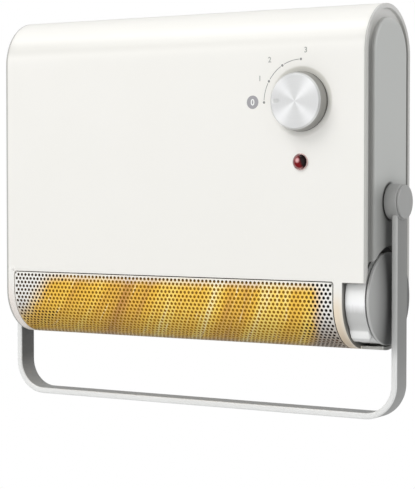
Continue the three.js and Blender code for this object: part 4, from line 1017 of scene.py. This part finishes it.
def spun_metal():
    """Spun aluminium: a painted reflection in sectors from the turn about the knob's axis, fine rings from
    the radius, and painted shade at the foot of the side.
    """
    made = Finish("spun_aluminium", Metallic=0.35)
    x, y, z = made.axes(DIAL_X, 0, DIAL_Z)
    turn = z.maths("ARCTAN2", x)
    reach = (x * x + z * z) ** 0.5
    wave = (turn * 4.0 + math.pi).maths("COSINE")
    broad = (turn * 2.0 - 1.4).maths("COSINE")
    rings = (reach * 14000.0).maths("SINE")
    around = made.node("ShaderNodeCombineXYZ", {}, {"X": reach * 900.0, "Y": turn * 0.6, "Z": y * 900.0})
    streaks = made.noise(around, 1.0, 3.0, 0.6)
    level = (wave * 0.5 + 0.5) ** 2.2 * 0.62 + broad * 0.06 + streaks * 0.26 + rings * 0.02 + 0.02
    face, chamfer, side = [
        (-y).step((CASE_DEPTH + low) * MM, (CASE_DEPTH + high) * MM)
        for low, high in ((12.7, 12.95), (10.9, 11.6), (0.6, 1.8))]
    made.base(
        "#454440", (side, made.mix(streaks, "#7d7b77", "#b4b3af")),
        (chamfer, made.mix(level, "#c9c9c7", "#f2f2f0")), (face, made.mix(level, "#d9d9d8", "#ffffff")),
    )
    made.set("Roughness", streaks * 0.14 + 0.26)
    made.bump(streaks, 0.12)
    return made


# %% Knob
FACE_Y = dial_low[1]
KNOB_BASE, KNOB_FACE = 30.0, 28.4
FACE_RADIUS, FACE_RIM = 26.2, 25.6
POINTER = 21.6
POINTER_HALF, POINTER_RADIUS, POINTER_DEPTH = 1.6, 2.3, 0.35


def knob_pieces():
    radii = np.concatenate([
        [0.05], np.arange(2.0, 19.0, 2.0), np.arange(19.0, FACE_RADIUS, 0.4), [FACE_RADIUS]])
    reach, angle = np.meshgrid(radii, full_turn(144), indexing="ij")
    x, z = reach * np.cos(angle), reach * np.sin(angle)
    near = np.hypot(np.clip(np.abs(x + POINTER) - POINTER_HALF, 0, None), z - 0.6)
    sunk = POINTER_DEPTH * (1 - smooth(near, POINTER_RADIUS - 0.9, POINTER_RADIUS + 0.2))
    sunk = np.where(reach > FACE_RIM, 0, sunk)
    face = np.stack([DIAL_X + x, FACE_Y + sunk, DIAL_Z + z], -1)
    side = rounded([
        (FACE_Y, FACE_RADIUS), (FACE_Y, FACE_RADIUS + 0.4), (FACE_Y + 1.7, KNOB_FACE),
        (dial_high[1], KNOB_BASE),
        (dial_high[1], KNOB_BASE - 2.5), (FACE_Y + 2.5, KNOB_FACE - 2.5)], [0, 0.3, 0.8, 0.4, 0.4, 0], 6)
    return [(face, grid_quads(len(radii), 144, wrap=True)), turned(side, "y", (DIAL_X, 0, DIAL_Z), 144)]


knob = build("control_knob_turned", "dial", spun_metal(), knob_pieces(), crease=28)
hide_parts("control_knob")
print("knob face at y", round(FACE_Y, 1), "mm")

# %% [markdown]
# ## Indicator lamp
# A dark red glossy lens stands in a thin chromed ring. The lens glows only faintly.

# %% Lamp


def lens_finish():
    """Clear red lens: painted shade at the upper right, a painted pale reflection at the upper left, and a
    painted reflection round its rim on the lit side.
    """
    made = Finish("lens_red", IOR=1.25, Roughness=0.2)
    x, _, z = made.axes(LAMP_X, 0, LAMP_Z)
    dark = (x + z * 0.35).step(-0.0012, 0.0034)
    u, w = x + 0.0022, z - 0.0016
    shine = 1 - ((u * u + w * w) ** 0.5).step(0.0010, 0.0034)
    rim = ((x * x + z * z) ** 0.5).step(0.0052, 0.0068) * (1 - dark)
    made.base("#750a13", (dark, "#170203"), (rim, "#a98280"), (shine, "#e0adad"))
    made.glow(made.mix(dark, "#750a13", "#000000"), 0.08)
    return made


LENS_RADIUS, LENS_CROWN = 7.1, 2.2


def lens_section():
    front, back = lens_low[1], lens_high[1]
    share = np.linspace(0, 1, 12)
    rise = LENS_CROWN * np.sqrt(np.clip(1 - share ** 2, 0, 1))
    crown = np.column_stack([front + LENS_CROWN - rise, np.maximum(LENS_RADIUS * share, ON_AXIS)])
    foot = front + LENS_CROWN + 0.4
    return np.concatenate([crown, [(foot, LENS_RADIUS), (foot, 5.6), (back, 5.6), (back, 4.6)]])


def round_lamp(profile):
    return [turned(profile, "y", (LAMP_X, 0, LAMP_Z), 64)]


(_, bezel_front, _), (_, bezel_back, _) = corners("indicator_bezel")
seat = -CASE_DEPTH - 0.05
bezel_ring = rounded([
    (bezel_front + 1.2, 7.4), (bezel_front, 7.5), (bezel_front, 8.4), (seat, 8.4), (seat, 6.6),
    (bezel_back, 6.6), (bezel_back, 5.8), (bezel_front + 1.2, 5.8), (bezel_front + 1.2, 7.4),
], [0, 0.2, 0.5, 0.2, 0.2, 0.2, 0.2, 0.2, 0], 5)
# The chromed ring's pink tint is a painted reflection of the red lens.
bezel_finish = metal("bezel", "#d8bcb8", 0.22, (300, 40, 300))
bezel = build("bezel_ring", "heater", bezel_finish, round_lamp(bezel_ring))
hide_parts("indicator_bezel")
lens = build("lens_dome", "heater", lens_finish(), round_lamp(lens_section()))
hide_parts("indicator_lens")

# %% [markdown]
# ## Dial marks
# The scale is an arc with four dots, and plain numbers stand beside it. A grey disc with a white 0
# marks the off place. All of it is ink a tenth of a millimetre thick, printed on the shell.

# %% Dial marks
INK = 0.12
INK_FACE = -CASE_DEPTH - 0.06
MARK_RADIUS = 42.1
EM_PER_FIGURE = 1.37
FIGURE_WEIGHT = 0.12


def around_dial(degrees, radius=MARK_RADIUS):
    return polar(DIAL_X, DIAL_Z, radius, np.radians(degrees))


def printed(outline):
    """A closed outline of (x, z) points as a layer of ink on the front."""
    def at_y(points, y):
        return np.column_stack([points[:, 0], np.full(len(points), y), points[:, 1]])

    return extruded(outline, at_y, INK_FACE, INK_FACE + INK)


def spot(centre, radius, steps=32):
    return printed(polar(*centre, radius, full_turn(steps)))


def arc_band(start, end, half_width=0.34, steps=40):
    degrees = np.linspace(start, end, steps)
    return printed(np.concatenate([around_dial(degrees, MARK_RADIUS + half_width),
                                   around_dial(degrees[::-1], MARK_RADIUS - half_width)]))


def figure(text, x, z, height, finish, name, depth=0.0):
    """A figure of the scale: a text curve made into a mesh, then set upright on the front."""
    curve = bpy.data.curves.new(name, "FONT")
    curve.body = text
    curve.size = height * EM_PER_FIGURE * MM
    curve.extrude = INK / 2 * MM
    curve.offset = FIGURE_WEIGHT * MM
    curve.align_x = curve.align_y = "CENTER"
    curve.resolution_u = 6
    holder = add_object(name + "_curve", curve)
    graph = bpy.context.evaluated_depsgraph_get()
    mesh = bpy.data.meshes.new_from_object(holder.evaluated_get(graph))
    bpy.data.objects.remove(holder)
    points = np.array([vertex.co[:] for vertex in mesh.vertices])
    points -= (points.max(0) + points.min(0)) / 2 * [1, 1, 0]
    lifted = np.column_stack([points[:, 0], -points[:, 2], points[:, 1]])
    lifted += np.array([x, INK_FACE + INK / 2 - depth, z]) * MM
    mesh.vertices.foreach_set("co", lifted.reshape(-1))
    mesh.materials.clear()
    mesh.materials.append(finish.material)
    made = add_object(name, mesh)
    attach(made, "heater")


INKS = {"grey_ink": "#8f8f8d", "pale_ink": "#a9a9a5", "white_ink": "#fbfbf9", "badge_ink": "#a4a2a5"}
grey_ink, pale_ink, white_ink, badge_ink = [
    moulded(name, shade, 0.5, drift=0.02) for name, shade in INKS.items()]
build("dial_scale", "heater", grey_ink,
      [arc_band(start, start - 24) for start in (177, 147, 117)]
      + [spot(around_dial(degrees), 1.3) for degrees in (180, 150, 120, 90)])
OFF_PLACE = (94.2, 75.8)
build("off_badge", "heater", badge_ink, [spot(OFF_PLACE, 6.75, 64)])
figure("0", *OFF_PLACE, 6.6, white_ink, "off_figure", depth=0.06)
for text, x, z in (("1", 102.6, 99.6), ("2", 114.0, 118.0), ("3", 155.0, 126.4)):
    figure(text, x, z, 5.6, pale_ink, f"scale_figure_{text}")

# %% [markdown]
# ## Inside the casing
# Little of the inside shows, but the pieces behind the outlet are seen through its holes and under the air
# guide. There these finishes carry painted light: a low amber emission that stands in for the light of the
# heater's ribbons, and follows the same slant as the painted glow on the sheet. The inner face of the white
# walls carries painted shade.

# %% Inner finishes


def inside_skin(made):
    """Mask of what lies some 2 mm in from the casing's outline: the inner face of its walls."""
    _, y, z = made.axes()
    return inset_at(y, z).step(0.0015, 0.0025)


def housing_finish():
    """White moulding, with painted shade on its inner face but not in the pocket round the bracket."""
    made = Finish("housing_white", Roughness=0.5)
    x, y, z = made.axes()
    beside = x.maths("ABSOLUTE").step(0.1468, 0.1476)
    above = (z - 0.085).maths("ABSOLUTE").step(0.0258, 0.0266)
    pocket = (1 - beside) * (1 - above) * y.step(-0.0080, -0.0074)
    made.base(made.drift("#edece7", "#f0efea"), (inside_skin(made) * (1 - pocket), "#45423e"))
    made.grain()
    return made


GLOW_LEVEL = 0.62


def warmed(made, inner_only=False):
    """Adds painted light: a low amber emission where the ribbons would light a piece."""
    x, y, z = made.axes()
    run = slanted_run(x, y, z)
    lit = run.band(GLOW_START - 0.01, GLOW_START + 0.02, GLOW_STOP - 0.02, GLOW_STOP)
    lit = lit * (1 - z.step(-0.1150, -0.1108))
    if inner_only:
        lit = lit * inside_skin(made)
    amber = made.mix(made.noise((40, 40, 40)), "#8a5c10", "#b98a22")
    made.glow(made.mix(lit, "#000000", amber), GLOW_LEVEL)
    return made


dark_sheet = warmed(moulded("dark_sheet", "#221e1b", 0.6, drift=0.1))
guide_black = warmed(moulded("guide_black", "#201e1c", 0.5))
housing_white = warmed(housing_finish(), inner_only=True)
steel = metal("steel", "#a9aaab", 0.32)
brass = metal("brass", "#c9a552", 0.3)
copper = warmed(moulded("copper", "#a8602f", 0.42, drift=0.35, grain=900.0, strength=0.9, Metallic=0.8))


def laminated():
    """Stacked steel sheets: fine lines along the motor's length."""
    made = Finish("lamination", Metallic=0.7, Roughness=0.5)
    x, _, _ = made.axes()
    sheets = (x * 12000.0).maths("SINE") * 0.5 + 0.5
    rust = made.noise(scale=120.0, detail=3.0)
    made.base("#4c4a48", (sheets * 0.6 + rust * 0.3, "#8d8b88"))
    made.bump(sheets, 0.5, 0.0001)
    return made


def hot_ribbon():
    """Heating ribbon: oxidised metal that glows in patches."""
    made = Finish("ribbon", Metallic=0.6, Roughness=0.5)
    heat = made.noise((55, 20, 90))
    made.base("#6b5140", (heat, "#a8876b"))
    made.glow(made.mix(heat.step(0.3, 0.75), "#7a2408", "#ff8a2c"), 1.2)
    return made


def pair(*names):
    return tuple(f"{side}_{name}" for name in names for side in ("right", "left"))


def numbered(name, count):
    return tuple(f"{name}_{number + 1}" for number in range(count))


INNER = {
    shell_white: ("front_shell",),
    housing_white: ("rear_housing",),
    dark_sheet: ("fan_scroll", "fan_tongue", "outlet_chute"),
    guide_black: ("guide_vane", "guide_shaft"),
    steel: pair("pivot_pin", "pivot_nut") + numbered("motor_screw", 2) + numbered("case_screw", 4) + (
        "switch_spindle", "switch_nut", "stub_shaft", "motor_shaft", "left_fan_plate", "motor_plate",
        "motor_front_bracket", "motor_rear_bracket", "wall_bracket", "thermal_cutout", "cable_clamp",
    ),
    brass: ("bearing_bush",),
    copper: ("motor_coil",),
    laminated(): ("motor_stator", "motor_rotor"),
    black_plastic: ("rotary_switch", "fan_impeller"),
    white_plastic: pair("pivot_washer") + ("terminal_block",),
    black_rubber: pair("wall_bumper") + ("cable_grommet",),
    mica: ("heater_frame",),
    hot_ribbon(): ("front_heating_ribbon", "rear_heating_ribbon"),
    lamp_glass: ("indicator_lamp",),
}
for finish, names in INNER.items():
    for name in names:
        if name in nodes:
            mesh = nodes[name].data
            mesh.materials.clear()
            mesh.materials.append(finish.material)
undressed = sorted(set(nodes) - {name for names in INNER.values() for name in names})
print("nodes without an inner finish:", undressed)

# %% [markdown]
# The rear moulding keeps its own solid form, with its slots, bracket pocket and screw wells. Only its
# shading changes: its facets meet at 18 degrees, so edges below 22 degrees are shaded as one curve,
# and normals weighted by face area keep the broad back flat.

# %% Rear moulding


def welded_copy(name, node_name, body, finish, crease):
    """A node's own triangles, welded and shaded smooth, in place of the node."""
    mesh = nodes[node_name].data
    points, faces = np.empty(len(mesh.vertices) * 3), np.empty(len(mesh.loops), int)
    mesh.vertices.foreach_get("co", points)
    mesh.loops.foreach_get("vertex_index", faces)
    triangles = points.reshape(-1, 3) / MM, faces.reshape(-1, 3)
    made = build(name, body, finish, [triangles], crease=crease)
    modify(made, "WEIGHTED_NORMAL", keep_sharp=True)
    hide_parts(node_name)
    return made


rear = welded_copy("rear_housing_skin", "rear_housing", "heater", housing_white, 22)
print("rear moulding", len(rear.data.polygons), "faces")

# %% [markdown]
# ## Light and ground
# The picture is a product shot on white: broad soft light from the front and the left, and a
# weaker fill on the right. The world is full white only to the camera, and half as bright to the rest.

# %% Light
WORLD_LEVEL = 0.5


def make_world():
    world = bpy.data.worlds.new("studio")
    bpy.context.scene.world = world
    world.use_nodes = True
    tree = world.node_tree
    back, white = tree.nodes["Background"], tree.nodes.new("ShaderNodeBackground")
    for node, tint, strength in ((white, (1, 1, 1, 1), 1.0), (back, (0.97, 0.985, 1.0, 1), WORLD_LEVEL)):
        node.inputs["Color"].default_value = tint
        node.inputs["Strength"].default_value = strength
    path = tree.nodes.new("ShaderNodeLightPath")
    blend = tree.nodes.new("ShaderNodeMixShader")
    for index, output in enumerate((path.outputs["Is Camera Ray"], back.outputs[0], white.outputs[0])):
        tree.links.new(output, blend.inputs[index])
    tree.links.new(blend.outputs[0], tree.nodes["World Output"].inputs[0])


def area_lamp(name, place, aim, size, power):
    data = bpy.data.lights.new(name, "AREA")
    data.size = size
    data.energy = power
    lamp = add_object(name, data)
    lamp.location = place
    lamp.rotation_euler = (Vector(aim) - Vector(place)).to_track_quat("-Z", "Y").to_euler()


make_world()
area_lamp("key", (-0.8, -1.4, 2.0), (0, -0.05, 0.02), 1.4, 32)
area_lamp("front", (0.0, -2.4, 0.2), (0, -0.05, 0), 1.8, 12)
area_lamp("right_fill", (2.0, 0.3, 0.9), (0.2, -0.05, 0), 1.2, 17)

# %% Ground
FLOOR_HEIGHT = -0.75
FLOOR_HALF = 9


def make_floor():
    mesh = bpy.data.meshes.new("floor")
    ring = [(x * FLOOR_HALF, y * FLOOR_HALF, FLOOR_HEIGHT) for x, y in ((-1, -1), (1, -1), (1, 1), (-1, 1))]
    mesh.from_pydata(ring, [], [(0, 1, 2, 3)])
    floor = add_object("floor", mesh)
    pale = Finish("pale_floor", Roughness=0.8)
    pale.set("Base Color", (0.8, 0.8, 0.8, 1))
    path = pale.node("ShaderNodeLightPath")
    glow = pale.node("ShaderNodeEmission", {}, {"Color": (1, 1, 1, 1), "Strength": 1.0})
    own = Wire(pale, pale.shader.outputs[0])
    blend = pale.node("ShaderNodeMixShader", {}, {0: path, 1: own, 2: glow})
    pale.feed(pale.tree.nodes["Material Output"].inputs[0], blend)
    mesh.materials.append(pale.material)


make_floor()
bpy.context.scene.view_settings.view_transform = "Standard"
